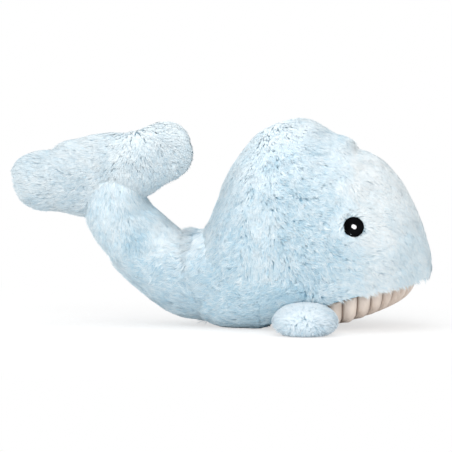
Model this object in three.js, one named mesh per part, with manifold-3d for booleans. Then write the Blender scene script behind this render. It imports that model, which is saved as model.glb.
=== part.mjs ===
// Stuffed toy whale, lying on its belly with the tail curled up and the fluke upright behind it.
// Millimetres, +X towards the snout, +Y towards the whale's left, +Z up.
// The origin is under the middle of the toy, on the surface it lies on.
import * as THREE from 'three';
import { mergeVertices } from 'three/addons/utils/BufferGeometryUtils.js';
import Module from 'manifold-3d';

const wasm = await Module();
wasm.setup();

// Fabric and sewing
const pileDepth = 7;          // fur cloth, backing and combed pile together
const clearance = 0.3;        // between pieces that touch
const overrun = 4;            // how far a cutter passes the piece it cuts
const flatDepth = 0.5;        // how deep the soft forms are pressed flat by the ground

// Head and body. Places on it are measured back from the tip of the snout.
const bodyRear = -44;         // where the rump ends, along X
const bodyLength = 215;
const bodyWidth = 124;
const bodyHeight = 171;       // from the ground to the crown
const bodyRings = 22;
const bodySides = 28;
const hiddenShare = 0.6;      // how finely the inside of a form is drawn, of the outside
const snoutX = bodyRear + bodyLength;

// Lip seam and ribbed belly
const lipFrontHeight = 42;    // of the seam at the snout
const lipBendBack = 112;      // where the seam turns from climbing to running forward
const lipBendHeight = 18.5;
const lipRearBack = 133;      // where the seam meets the ground, under the belly
const bellyCentreBack = 92;   // the ribs run together towards this place
const bellyFrontReach = 80;
const bellyRearReach = 43;
const bellyInset = 11;        // of the ribbed cloth from the widest place of the flank
const bellyWallHeight = 44;
const bellyRise = 21;         // how far the chin lifts off the ground at the front
const bellyCloth = 3.5;
const ribCount = 38;
const ribSteps = 4;           // points along one rib's crown and crease
const ribDepth = 2.2;
const bellyRings = 5;
const lipSteps = 12;

// Forehead seams: three places on the near one
const crownSeamBack = 70;
const eyeSeamBack = 60;
const lipSeamBack = 54;

// Eyes
const eyeBack = 60;
const eyeHeight = 86.5;
const eyeDiameter = 16.5;
const eyeThickness = 1.6;
const eyeRimWidth = 1.3;
const eyeRimHeight = 0.5;
const eyeSides = 32;
const glintLength = 5;
const glintWidth = 3.6;
const glintThickness = 0.7;
const glintSides = 20;

// Tail stock: places on its middle line, measured back from the rump, and its radius there
const tailRootBack = -49;
const tailRootHeight = 44;
const tailRootRadius = 33;
const tailSwellBack = -29;
const tailSwellHeight = 42.5;
const tailSwellRadius = 37;
const tailValleyBack = -13;
const tailValleyHeight = 42;
const tailValleyRadius = 33.5;
const tailBendBack = 7;
const tailBendHeight = 53;
const tailBendRadius = 29.5;
const tailRiseBack = 30;
const tailRiseHeight = 75;
const tailRiseRadius = 27;
const tailEndBack = 44.5;     // where the fluke is sewn on
const tailEndHeight = 96;
const tailEndRadius = 24.5;
const tailRings = 14;
const tailSides = 24;

// Fluke: upright, with one lobe towards the snout and one away from it
const flukeLean = 15;         // degrees that it leans back from upright
const flukeHalfSpan = 74.5;
const flukeChord = 61;
const flukeThickness = 36;
const flukeShift = 3;         // how far its middle lies behind the middle of its seam
const flukeFrontRise = 2;     // how far the tips curl up
const flukeRearRise = 6;
const flukeRings = 11;        // on each side of the middle
const flukeSides = 16;
const seamBarSides = 40;

// Flippers, which lift about the upper edges of the seams that sew them to the flanks
const flipperBack = 99.5;
const flipperHeight = 16.7;
const flipperStandoff = 2;    // of the seam from the flank's surface
const flipperLength = 52;
const flipperChord = 50;
const flipperThickness = 24;
const flipperForward = 6;     // degrees that it points forward of straight out
const flipperDroop = 12;      // degrees that it hangs below level
const flipperRings = 11;
const flipperSides = 16;
const grooveSides = 24;

const materials = {
  flankFur: { color: 0xbcd9e6, roughness: 0.95, metalness: 0 },
  foreheadFur: { color: 0xcfe3ec, roughness: 0.95, metalness: 0 },
  flipperFur: { color: 0xd6e8f0, roughness: 0.95, metalness: 0 },
  ribbedCloth: { color: 0xd1c1b9, roughness: 0.85, metalness: 0 },
  fibre: { color: 0xf1f1ee, roughness: 1, metalness: 0 },
  eyeCloth: { color: 0x141416, roughness: 0.8, metalness: 0 },
  eyeThread: { color: 0xf4f2f0, roughness: 0.6, metalness: 0 },
};

// Outline of head and body, read along its length. Each row gives shares:
// along the length, crown height, height of the widest place, underside height
// (all of bodyHeight) and half width (of half the bodyWidth).
const bodyShares = [
  [0.000, 0.225, 0.225, 0.225, 0.000],
  [0.009, 0.305, 0.228, 0.150, 0.230],
  [0.037, 0.365, 0.232, 0.107, 0.370],
  [0.065, 0.400, 0.238, 0.083, 0.450],
  [0.103, 0.438, 0.245, 0.062, 0.510],
  [0.136, 0.472, 0.255, 0.040, 0.570],
  [0.152, 0.505, 0.265, 0.026, 0.620],
  [0.185, 0.600, 0.285, 0.010, 0.700],
  [0.220, 0.696, 0.305, 0.000, 0.785],
  [0.258, 0.790, 0.325, -0.001, 0.854],
  [0.304, 0.881, 0.345, -0.003, 0.908],
  [0.357, 0.947, 0.358, -0.003, 0.954],
  [0.418, 0.982, 0.366, -0.003, 0.985],
  [0.486, 1.000, 0.370, -0.003, 1.000],
  [0.547, 0.988, 0.370, -0.003, 1.000],
  [0.608, 0.955, 0.368, 0.002, 0.985],
  [0.669, 0.916, 0.364, 0.010, 0.954],
  [0.730, 0.868, 0.358, 0.022, 0.900],
  [0.791, 0.816, 0.350, 0.038, 0.831],
  [0.844, 0.758, 0.342, 0.060, 0.741],
  [0.889, 0.685, 0.335, 0.092, 0.625],
  [0.927, 0.595, 0.328, 0.130, 0.500],
  [0.960, 0.497, 0.322, 0.172, 0.360],
  [0.984, 0.397, 0.316, 0.222, 0.200],
  [1.000, 0.310, 0.310, 0.310, 0.000],
];

// Where the lower half of the body is pressed outwards by its own weight
const undersideFullness = 3;

const degrees = Math.PI / 180;

// Turns a closed geometry into a solid, and back again.
function solidOf(geometry) {
  const bare = new THREE.BufferGeometry();
  bare.setAttribute('position', geometry.getAttribute('position'));
  if (geometry.index) bare.setIndex(geometry.index);
  const merged = mergeVertices(bare, 1e-4);
  const vertProperties = new Float32Array(merged.getAttribute('position').array);
  const triVerts = new Uint32Array(merged.index.array);
  return new wasm.Manifold(new wasm.Mesh({ numProp: 3, vertProperties, triVerts }));
}

function geometryOf(solid) {
  const mesh = solid.getMesh();
  const geometry = new THREE.BufferGeometry();
  geometry.setAttribute('position', new THREE.BufferAttribute(mesh.vertProperties, 3));
  geometry.setIndex(new THREE.BufferAttribute(mesh.triVerts, 1));
  geometry.computeVertexNormals();
  return geometry;
}

// The one large body of a solid, without the slivers that a cut may leave beside it.
function whole(solid) {
  return solid.decompose().reduce((a, b) => (a.volume() > b.volume() ? a : b));
}

// A closed skin over rings of points, all with as many points, ending in two single points.
function loft(start, rings, end) {
  const sides = rings[0].length;
  const points = [start, ...rings.flat(), end];
  const last = points.length - 1;
  const faces = [];
  const at = (ring, side) => 1 + ring * sides + (side % sides);
  for (let side = 0; side < sides; side += 1) {
    faces.push(0, at(0, side + 1), at(0, side));
    faces.push(last, at(rings.length - 1, side), at(rings.length - 1, side + 1));
    for (let ring = 0; ring < rings.length - 1; ring += 1) {
      faces.push(at(ring, side), at(ring, side + 1), at(ring + 1, side + 1));
      faces.push(at(ring, side), at(ring + 1, side + 1), at(ring + 1, side));
    }
  }
  const geometry = new THREE.BufferGeometry().setFromPoints(points);
  geometry.setIndex(faces);
  return outward(solidOf(geometry));
}

// Solids are built whichever way their rings run, so one that came out inside out is mirrored right.
function outward(solid) {
  if (solid.volume() > 0) return solid;
  const mesh = solid.getMesh();
  const triVerts = mesh.triVerts.map((_, i, all) => all[i - (i % 3) + ((3 - (i % 3)) % 3)]);
  return new wasm.Manifold(new wasm.Mesh({ numProp: 3, vertProperties: mesh.vertProperties, triVerts }));
}

// A smooth reading of a table of shares between its rows, at t from 0 to 1.
function readShares(rows, t) {
  const place = THREE.MathUtils.clamp(t, 0, 1) * (rows.length - 1);
  const row = Math.min(Math.floor(place), rows.length - 2);
  const f = place - row;
  const pick = (i) => rows[THREE.MathUtils.clamp(i, 0, rows.length - 1)];
  return rows[0].map((_, column) => {
    const [a, b, c, d] = [-1, 0, 1, 2].map((step) => pick(row + step)[column]);
    return b + 0.5 * f * (c - a + f * (2 * a - 5 * b + 4 * c - d + f * (3 * (b - c) + d - a)));
  });
}

// A large block whose lower face lies through a point, square to a direction. It cuts a half off.
function halfSpace(point, direction) {
  const size = 4 * bodyLength;
  const geometry = new THREE.BoxGeometry(size, size, size).translate(0, 0, size / 2);
  const turn = new THREE.Quaternion().setFromUnitVectors(
    new THREE.Vector3(0, 0, 1), direction.clone().normalize());
  geometry.applyQuaternion(turn).translate(point.x, point.y, point.z);
  return solidOf(geometry);
}

// Rings and sides of a form: fewer, and an even number of sides, where it is drawn in and so hidden.
function detail(offset, rings, sides) {
  if (offset >= 0) return [rings, sides];
  return [Math.round(rings * hiddenShare), 2 * Math.round(sides * hiddenShare / 2)];
}

const ground = halfSpace(new THREE.Vector3(), new THREE.Vector3(0, 0, -1));

// Head and body, grown or shrunk on every side by an offset.
function bodyForm(offset = 0) {
  const rings = [];
  const [ringCount, sides] = detail(offset, bodyRings, bodySides);
  const halfHeight = bodyHeight / 2;
  const heightScale = (halfHeight + offset) / halfHeight;
  const lengthScale = (bodyLength + 2 * offset) / bodyLength;
  const widthScale = (bodyWidth + 2 * offset) / bodyWidth;
  const place = (share, side) => {
    const [along, top, widest, bottom, half] = readShares(bodyShares, share);
    const angle = side * 2 * Math.PI / sides;
    const across = Math.cos(angle);
    const up = Math.sin(angle);
    const power = up < 0 ? 2 / undersideFullness : 1;
    const reach = (up < 0 ? widest - bottom : top - widest) * bodyHeight;
    const y = Math.sign(across) * Math.abs(across) ** power * half * bodyWidth / 2;
    const z = widest * bodyHeight + Math.sign(up) * Math.abs(up) ** power * reach;
    const x = bodyRear + along * bodyLength;
    const middle = bodyRear + bodyLength / 2;
    return new THREE.Vector3(
      middle + (x - middle) * lengthScale, y * widthScale, halfHeight + (z - halfHeight) * heightScale);
  };
  for (let ring = 1; ring < ringCount; ring += 1) {
    const share = ring / ringCount;
    rings.push(Array.from({ length: sides }, (_, side) => place(share, side)));
  }
  return loft(place(0, 0), rings, place(1, 0));
}

// The row of bodyShares at a place along the body.
function rowAt(x) {
  let low = 0;
  let high = 1;
  while (high - low > 1e-8) {
    const middle = (low + high) / 2;
    if (bodyRear + readShares(bodyShares, middle)[0] * bodyLength < x) low = middle;
    else high = middle;
  }
  return readShares(bodyShares, low);
}

const crownAt = (x) => rowAt(x)[1] * bodyHeight;

// How far out the flank lies at a place along the body and a height.
function flankAt(x, z) {
  const [, top, widest, bottom, half] = rowAt(x);
  const rise = z - widest * bodyHeight;
  const reach = (rise < 0 ? widest - bottom : top - widest) * bodyHeight;
  const power = rise < 0 ? undersideFullness : 2;
  const left = Math.max(0, 1 - (Math.abs(rise) / reach) ** power);
  return half * bodyWidth / 2 * left ** (1 / power);
}

// The lip seam, seen from the side: it climbs from under the belly, then runs forward to the snout.
const lipRear = new THREE.Vector2(snoutX - lipRearBack, 0);
const lipBend = new THREE.Vector2(snoutX - lipBendBack, lipBendHeight);
const lipFront = new THREE.Vector2(snoutX, lipFrontHeight);
const lipCurve = new THREE.QuadraticBezierCurve(lipRear, lipBend, lipFront);

// The space under the lip seam, right across the toy, raised or lowered by a shift.
function underLip(shift) {
  const before = lipRear.clone().sub(lipBend).setLength(2 * overrun).add(lipRear);
  const beyond = lipFront.clone().sub(lipBend).setLength(2 * overrun).add(lipFront);
  const outline = [before, ...lipCurve.getPoints(lipSteps), beyond,
    new THREE.Vector2(beyond.x, -bodyHeight), new THREE.Vector2(before.x, -bodyHeight)];
  const shape = new THREE.Shape(outline);
  const geometry = new THREE.ExtrudeGeometry(shape, { depth: 2 * bodyWidth, bevelEnabled: false });
  geometry.rotateX(Math.PI / 2).translate(-shift / 2, bodyWidth, shift);
  return solidOf(geometry);
}

// The ribbed bowl under the lip, drawn in by an offset. Its ribs fan out from a place under the belly.
const bellyHalfWidth = bodyWidth / 2 - bellyInset;
const bellyFullness = 2.3;      // of its outline seen from below: 2 is an ellipse, more is squarer
const bellySquareness = 5;      // of its wall seen from the front, likewise
const bellyRisePower = 1.15;    // how late the chin starts to lift

function bellyForm(offset, ribs) {
  const steps = ribs ? ribSteps * ribCount : ribCount;
  const centreX = snoutX - bellyCentreBack;
  const rings = [];
  const powered = (value, power) => Math.sign(value) * Math.abs(value) ** power;
  for (let ring = 1; ring <= bellyRings; ring += 1) {
    const turn = (ring / bellyRings) * Math.PI / 2;
    const outShare = Math.sin(turn) ** (2 / bellySquareness);
    const upShare = 1 - Math.cos(turn) ** (2 / bellySquareness);
    rings.push(Array.from({ length: steps }, (_, step) => {
      const angle = step * 2 * Math.PI / steps;
      const flute = ribs ? ribDepth * (Math.abs(Math.sin(ribCount * angle / 2)) - 1) : 0;
      const reach = (Math.cos(angle) > 0 ? bellyFrontReach : bellyRearReach) - offset + flute;
      const side = bellyHalfWidth - offset + flute;
      const x = reach * outShare * powered(Math.cos(angle), 2 / bellyFullness);
      const y = side * outShare * powered(Math.sin(angle), 2 / bellyFullness);
      const lift = bellyRise * (Math.max(0, x) / bellyFrontReach) ** bellyRisePower;
      return new THREE.Vector3(centreX + x, y, offset - flatDepth + lift + upShare * bellyWallHeight);
    }));
  }
  const low = new THREE.Vector3(centreX, 0, offset - flatDepth);
  const high = new THREE.Vector3(centreX, 0, offset + bellyWallHeight + bellyRise);
  return loft(low, rings, high);
}

// Splits a skin along the middle plane into its right and left halves.
const middleGap = clearance / 2;
const rightHalf = halfSpace(new THREE.Vector3(0, -middleGap, 0), new THREE.Vector3(0, -1, 0));
const leftHalf = halfSpace(new THREE.Vector3(0, middleGap, 0), new THREE.Vector3(0, 1, 0));

// Groups in which the named pieces are hung
const whale = new THREE.Group();

function addPiece(name, look, solid) {
  const mesh = new THREE.Mesh(geometryOf(solid), new THREE.MeshStandardMaterial(materials[look]));
  mesh.name = name;
  whale.add(mesh);
}

// Tail stock: a stuffed tube along a curve, wider at the body.
const tailKnots = [
  [bodyRear - tailRootBack, tailRootHeight, tailRootRadius],
  [bodyRear - tailSwellBack, tailSwellHeight, tailSwellRadius],
  [bodyRear - tailValleyBack, tailValleyHeight, tailValleyRadius],
  [bodyRear - tailBendBack, tailBendHeight, tailBendRadius],
  [bodyRear - tailRiseBack, tailRiseHeight, tailRiseRadius],
  [bodyRear - tailEndBack, tailEndHeight, tailEndRadius],
];
const leanBack = flukeLean * degrees;
const flukeUp = new THREE.Vector3(-Math.sin(leanBack), 0, Math.cos(leanBack));
const flukeAlong = new THREE.Vector3(Math.cos(leanBack), 0, Math.sin(leanBack));
const flukeSeam = new THREE.Vector3(bodyRear - tailEndBack, 0, tailEndHeight);
const shoulderRadius = tailEndRadius - clearance;

function tailForm(offset = 0) {
  const beyond = flukeSeam.clone().addScaledVector(flukeUp, shoulderRadius + overrun);
  const knots = [...tailKnots, [beyond.x, beyond.z, tailEndRadius]];
  const line = (t) => readShares(knots, t);
  const rings = [];
  const [ringCount, sides] = detail(offset, tailRings, tailSides);
  for (let ring = 0; ring <= ringCount; ring += 1) {
    const t = ring / ringCount;
    const [x, z, radius] = line(t);
    const [nextX, nextZ] = line(t + 1e-3);
    const [lastX, lastZ] = line(t - 1e-3);
    const along = new THREE.Vector3(nextX - lastX, 0, nextZ - lastZ).normalize();
    const over = new THREE.Vector3(-along.z, 0, along.x);
    rings.push(Array.from({ length: sides }, (_, side) => {
      const angle = side * 2 * Math.PI / sides;
      return new THREE.Vector3(x, 0, z)
        .addScaledVector(over, (radius + offset) * Math.cos(angle))
        .add(new THREE.Vector3(0, (radius + offset) * Math.sin(angle), 0));
    }));
  }
  const [firstX, firstZ] = line(0);
  const [endX, endZ] = line(1);
  return loft(new THREE.Vector3(firstX, 0, firstZ), rings, new THREE.Vector3(endX, 0, endZ));
}

// A round bar along the seam between the fluke and the tail stock.
function seamBar(radius, halfLength) {
  const geometry = new THREE.CylinderGeometry(radius, radius, 2 * halfLength, seamBarSides);
  geometry.rotateZ(Math.PI / 2).rotateY(-leanBack);
  return solidOf(geometry.translate(flukeSeam.x, flukeSeam.y, flukeSeam.z));
}

const underSeam = halfSpace(flukeSeam, flukeUp.clone().negate());

// The tail stock ends in a round shoulder, on which the fluke turns.
function tailShoulder(solid, offset = 0) {
  const barrel = solid.intersect(seamBar(shoulderRadius + offset, bodyWidth));
  return solid.intersect(underSeam).add(barrel);
}

// Fluke: two flat stuffed lobes. Rows give shares of the half span, of the chord for the middle
// and half chord, and of the thickness for its half.
const flukeShares = [
  [0.00, 0.525, 0.520, 0.50],
  [0.24, 0.525, 0.505, 0.52],
  [0.45, 0.540, 0.450, 0.51],
  [0.62, 0.565, 0.410, 0.48],
  [0.78, 0.570, 0.380, 0.43],
  [0.90, 0.570, 0.310, 0.34],
  [0.97, 0.570, 0.200, 0.22],
  [1.00, 0.570, 0.000, 0.00],
];

function flukeForm(offset = 0) {
  const [rowCount, sides] = detail(offset, flukeRings, flukeSides);
  const place = (share, sign, side) => {
    const [along, middle, half, thick] = readShares(flukeShares, share);
    const angle = side * 2 * Math.PI / sides;
    const up = middle * flukeChord + half * (flukeChord + 2 * offset) * Math.cos(angle);
    const out = sign * along * (flukeHalfSpan + offset) - flukeShift;
    const rise = sign > 0 ? flukeFrontRise : flukeRearRise;
    const across = thick * (flukeThickness + 2 * offset) * Math.sin(angle);
    return new THREE.Vector3(0, across, 0).addScaledVector(flukeAlong, out)
      .addScaledVector(flukeUp, up + rise * along * along).add(flukeSeam);
  };
  const rings = [];
  for (let row = 1 - rowCount; row < rowCount; row += 1) {
    const share = Math.abs(row) / rowCount;
    rings.push(Array.from({ length: sides }, (_, side) => place(share, Math.sign(row), side)));
  }
  return loft(place(1, -1, 0), rings, place(1, 1, 0));
}

// Flipper: a flat stuffed paddle. Rows give shares of its length, of the chord and of the thickness.
const flipperShares = [
  [0.00, 0.70, 0.00],
  [0.03, 0.74, 0.38],
  [0.12, 0.80, 0.63],
  [0.30, 0.92, 0.90],
  [0.55, 1.00, 1.00],
  [0.78, 0.88, 0.88],
  [0.92, 0.58, 0.60],
  [0.98, 0.30, 0.32],
  [1.00, 0.00, 0.00],
];
const flipperRootShare = 0.68;   // how thick it is at its seam, of its thickest
const flipperRootChordShare = 0.85;
const flipperSeamRadius = flipperRootShare * flipperThickness / 2;
const flipperX = snoutX - flipperBack;
const flipperOut = flankAt(flipperX, flipperHeight) + flipperStandoff;

function flipperForm(offset = 0) {
  const [ringCount, sides] = detail(offset, flipperRings, flipperSides);
  const place = (share, side) => {
    const [along, chord, thick] = readShares(flipperShares, share);
    const angle = side * 2 * Math.PI / sides;
    const out = flipperSeamRadius + offset - along * (flipperLength + 2 * offset);
    return new THREE.Vector3(
      chord * (flipperChord / 2 + offset) * Math.cos(angle), out,
      thick * (flipperThickness / 2 + offset) * Math.sin(angle));
  };
  const rings = [];
  for (let ring = 1; ring < ringCount; ring += 1) {
    const share = ring / ringCount;
    rings.push(Array.from({ length: sides }, (_, side) => place(share, side)));
  }
  const centre = (share) => place(share, 0).setX(0);
  const solid = loft(centre(0), rings, centre(1));
  return solid.rotate([flipperDroop, 0, 0]).rotate([0, 0, flipperForward])
    .translate([flipperX, -flipperOut, flipperHeight]);
}

// The body with a little room round it, for what is seated on it.
const rump = bodyForm(clearance);

// Where the flippers are sewn on, the flanks have a shallow round groove.
function flipperGroove() {
  const radius = flipperSeamRadius + 2 * clearance;
  const bar = new THREE.CylinderGeometry(radius, radius, flipperRootChordShare * flipperChord, grooveSides);
  bar.rotateZ(Math.PI / 2);
  bar.rotateZ(flipperForward * degrees).translate(flipperX, -flipperOut, flipperHeight);
  return solidOf(bar);
}

const mirrorY = (solid) => solid.mirror([0, 1, 0]);
const groove = flipperGroove();
const grooves = groove.add(mirrorY(groove));

// Head and body: filling, two side panels and the forehead gusset between their seams
const bodyOutside = bodyForm().subtract(ground);
const bodySkin = bodyOutside.subtract(bodyForm(-pileDepth)).subtract(underLip(0)).subtract(grooves);

const seamPlace = (back, height) => {
  const x = snoutX - back;
  return new THREE.Vector3(x, -flankAt(x, height), height);
};
const crownSeam = new THREE.Vector3(snoutX - crownSeamBack, 0, crownAt(snoutX - crownSeamBack));
const eyeSeam = seamPlace(eyeSeamBack, eyeHeight);
const lipSeam = seamPlace(lipSeamBack, lipFrontHeight);
const seamSide = new THREE.Vector3().crossVectors(
  lipSeam.clone().sub(crownSeam), eyeSeam.clone().sub(crownSeam));
const ahead = seamSide.x > 0 ? seamSide.normalize() : seamSide.normalize().negate();
const aheadFar = ahead.clone().setY(-ahead.y);
const gussetSpace = halfSpace(crownSeam, ahead).intersect(halfSpace(crownSeam, aheadFar));
const seamBack = crownSeam.clone().addScaledVector(ahead, -clearance);
const seamBackFar = crownSeam.clone().addScaledVector(aheadFar, -clearance);
const sideSpace = halfSpace(seamBack, ahead.clone().negate())
  .add(halfSpace(seamBackFar, aheadFar.clone().negate()));

addPiece('right_side_panel', 'flankFur', whole(bodySkin.intersect(sideSpace).intersect(rightHalf)));
addPiece('left_side_panel', 'flankFur', whole(bodySkin.intersect(sideSpace).intersect(leftHalf)));
addPiece('forehead_gusset', 'foreheadFur', whole(bodySkin.intersect(gussetSpace)));

const fillingInset = -pileDepth - clearance;
const bodyInside = bodyForm(fillingInset);
const bellyInside = bellyForm(bellyCloth + clearance, false);
const neck = bellyInside.intersect(bodyInside).intersect(underLip(overrun));
const bodyFilling = bodyInside.subtract(underLip(0))
  .add(bellyInside.intersect(underLip(-clearance))).add(neck).subtract(grooves);
addPiece('body_stuffing', 'fibre', whole(bodyFilling));

// Ribbed cloth under chin and belly
const bellySkin = bellyForm(0, true).subtract(bellyForm(bellyCloth, false));
addPiece('belly_panel', 'ribbedCloth',
  whole(bellySkin.intersect(underLip(-clearance)).subtract(ground).subtract(grooves)));

// Tail stock
const tailOutside = tailShoulder(tailForm()).subtract(rump).subtract(ground);
const tailInside = tailShoulder(tailForm(-pileDepth), -pileDepth);
const tailSkin = tailOutside.subtract(tailInside);
addPiece('right_tail_panel', 'flankFur', whole(tailSkin.intersect(rightHalf)));
addPiece('left_tail_panel', 'flankFur', whole(tailSkin.intersect(leftHalf)));
addPiece('tail_stuffing', 'fibre', whole(tailShoulder(tailForm(fillingInset), fillingInset).subtract(rump)));

// Fluke, which straddles the end of the tail stock
const straddle = tailEndRadius + 3 * clearance;
const saddleBlock = new THREE.BoxGeometry(2 * straddle, bodyWidth, flukeChord)
  .translate(0, 0, -flukeChord / 2).rotateY(-leanBack)
  .translate(flukeSeam.x, flukeSeam.y, flukeSeam.z);
const saddle = solidOf(saddleBlock).add(seamBar(shoulderRadius + clearance, straddle));
const flukeSkin = flukeForm().subtract(saddle).subtract(flukeForm(-pileDepth));
addPiece('fluke_right_panel', 'flankFur', whole(flukeSkin.intersect(rightHalf)));
addPiece('fluke_left_panel', 'flankFur', whole(flukeSkin.intersect(leftHalf)));
addPiece('fluke_stuffing', 'fibre', whole(flukeForm(fillingInset).subtract(saddle)));

// Flippers, each of two fur layers round a thin filling
const flipperTurn = new THREE.Euler(flipperDroop * degrees, 0, flipperForward * degrees, 'ZYX');
const flipperSeam = new THREE.Vector3(flipperX, -flipperOut, flipperHeight);
const flipperOver = new THREE.Vector3(0, 0, 1).applyEuler(flipperTurn);
const overGap = flipperOver.clone().multiplyScalar(clearance / 2);
const overSpace = halfSpace(flipperSeam.clone().add(overGap), flipperOver);
const underSpace = halfSpace(flipperSeam.clone().sub(overGap), flipperOver.clone().negate());
const flipperSkin = flipperForm().subtract(flipperForm(-pileDepth)).subtract(ground);
const flipperPieces = {
  top: ['flipperFur', whole(flipperSkin.intersect(overSpace))],
  bottom: ['flipperFur', whole(flipperSkin.intersect(underSpace))],
  stuffing: ['fibre', flipperForm(fillingInset)],
};
for (const [piece, [look, solid]] of Object.entries(flipperPieces)) {
  addPiece(`right_flipper_${piece}`, look, solid);
  addPiece(`left_flipper_${piece}`, look, mirrorY(solid));
}

// Eyes: stitched patches with a raised rim, and the white spot on each
const eyeX = snoutX - eyeBack;
const eyeOut = flankAt(eyeX, eyeHeight);
const probe = eyeDiameter / 2;
const fallAhead = (flankAt(eyeX + probe, eyeHeight) - flankAt(eyeX - probe, eyeHeight)) / (2 * probe);
const fallUp = (flankAt(eyeX, eyeHeight + probe) - flankAt(eyeX, eyeHeight - probe)) / (2 * probe);
const eyeFacing = new THREE.Vector3(-fallAhead, -1, -fallUp).normalize();
const eyePlace = new THREE.Vector3(eyeX, -eyeOut, eyeHeight);
const eyeTurn = new THREE.Quaternion().setFromUnitVectors(new THREE.Vector3(0, 1, 0), eyeFacing);
const onEye = (geometry) => solidOf(
  geometry.applyQuaternion(eyeTurn).translate(eyePlace.x, eyePlace.y, eyePlace.z));

const eyeRadius = eyeDiameter / 2;
const eyeOutline = [
  [0, -overrun], [eyeRadius, -overrun], [eyeRadius, eyeThickness + eyeRimHeight],
  [eyeRadius - eyeRimWidth, eyeThickness + eyeRimHeight], [eyeRadius - eyeRimWidth, eyeThickness],
  [0, eyeThickness],
].map(([r, y]) => new THREE.Vector2(r, y));
const eyePatch = onEye(new THREE.LatheGeometry(eyeOutline, eyeSides)).subtract(rump);
const glintDisc = new THREE.CylinderGeometry(1, 1, glintThickness, glintSides)
  .scale(glintLength / 2, 1, glintWidth / 2)
  .translate(0, eyeThickness + clearance + glintThickness / 2, 0);
const glint = onEye(glintDisc);
addPiece('right_eye', 'eyeCloth', eyePatch);
addPiece('left_eye', 'eyeCloth', mirrorY(eyePatch));
addPiece('right_eye_glint', 'eyeThread', glint);
addPiece('left_eye_glint', 'eyeThread', mirrorY(glint));

// The origin is put under the middle of the finished toy.
const toy = new THREE.Group().add(whale);
const boxMiddle = new THREE.Box3().setFromObject(whale).getCenter(new THREE.Vector3());
whale.position.x = -boxMiddle.x;

export default toy;
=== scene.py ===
import logging
import math
from dataclasses import dataclass, field
from enum import Enum
from typing import Callable, NamedTuple

import bpy
import numpy as np
from mathutils import Matrix, Vector, kdtree


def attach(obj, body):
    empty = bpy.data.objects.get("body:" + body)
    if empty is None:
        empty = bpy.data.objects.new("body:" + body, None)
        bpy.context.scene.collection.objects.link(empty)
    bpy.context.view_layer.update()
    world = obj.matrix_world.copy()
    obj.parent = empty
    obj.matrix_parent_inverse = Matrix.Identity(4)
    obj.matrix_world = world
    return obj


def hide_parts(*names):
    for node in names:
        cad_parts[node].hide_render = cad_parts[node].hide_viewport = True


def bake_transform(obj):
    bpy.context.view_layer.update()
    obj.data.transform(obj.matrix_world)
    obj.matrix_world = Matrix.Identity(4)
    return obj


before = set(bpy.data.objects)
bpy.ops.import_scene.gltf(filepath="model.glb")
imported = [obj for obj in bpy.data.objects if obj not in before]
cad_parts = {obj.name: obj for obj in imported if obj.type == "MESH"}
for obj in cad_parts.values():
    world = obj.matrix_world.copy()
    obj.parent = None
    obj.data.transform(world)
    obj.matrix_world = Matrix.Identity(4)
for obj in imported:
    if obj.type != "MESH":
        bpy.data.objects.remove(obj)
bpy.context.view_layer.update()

log = logging.getLogger("plush_whale")

MM = 0.001
FLOOR_GAP = 0.3 * MM          # least height of any strand or cloth over the floor
LEAST_AREA = 1e-13            # of a step on a net, in square metres, that still shows where it faces

# Bodies of the frame
BODY = "body"
FLUKE = "fluke"

Picker = Callable[[np.ndarray], np.ndarray]      # tells which of some points belong


class Side(Enum):
    """The toy's right half, which the photograph shows, and its left half."""

    RIGHT = -1
    LEFT = 1

    @property
    def word(self) -> str:
        """The side's name as the pieces use it."""
        return self.name.lower()


def srgb(red: int, green: int, blue: int) -> tuple[float, float, float, float]:
    """Turns a colour written as 0 to 255 into the linear values that shaders take.

    Args:
        red: red, 0 to 255.
        green: green, 0 to 255.
        blue: blue, 0 to 255.

    Returns:
        The linear colour with an alpha of 1.
    """
    def linear(value: float) -> float:
        """One channel in linear light."""
        value /= 255
        return value / 12.92 if value <= 0.04045 else ((value + 0.055) / 1.055) ** 2.4
    return (linear(red), linear(green), linear(blue), 1.0)


def unit(vectors: np.ndarray) -> np.ndarray:
    """Vectors scaled to length 1, with no trouble from empty ones."""
    return vectors / np.maximum(np.linalg.norm(vectors, axis=-1, keepdims=True), 1e-12)


def dot(a: np.ndarray, b: np.ndarray) -> np.ndarray:
    """Row by row dot product, kept as a column."""
    return (a * b).sum(-1, keepdims=True)


def powered(values: np.ndarray, power: float) -> np.ndarray:
    """Values raised to a power with their signs kept."""
    return np.sign(values) * np.abs(values) ** power


def read_rows(rows: np.ndarray, place: np.ndarray) -> np.ndarray:
    """Reads a table smoothly between its rows.

    Args:
        rows: the table, one row after another.
        place: where to read, 0 at the first row to 1 at the last.

    Returns:
        One row of values for each place.
    """
    at = np.clip(place, 0, 1) * (len(rows) - 1)
    first = np.minimum(at.astype(int), len(rows) - 2)
    f = (at - first)[..., None]
    a, b, c, d = (rows[np.clip(first + step, 0, len(rows) - 1)] for step in (-1, 0, 1, 2))
    return b + 0.5 * f * (c - a + f * (2 * a - 5 * b + 4 * c - d + f * (3 * (b - c) + d - a)))


def waves(points: np.ndarray, size: float, seed: int, count: int = 14) -> np.ndarray:
    """A smooth random field through space.

    Args:
        points: where to read it, in metres.
        size: how far apart its crests lie, in metres.
        seed: which field.
        count: how many waves are added up.

    Returns:
        A value for each point, mostly from -1 to 1.
    """
    rng = np.random.default_rng(seed)
    directions = unit(rng.normal(size=(count, 3))) * rng.uniform(0.6, 1.5, (count, 1))
    phases = rng.uniform(0, 2 * np.pi, count)
    return np.sin(points @ directions.T * (2 * np.pi / size) + phases).sum(-1) / math.sqrt(count)


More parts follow.
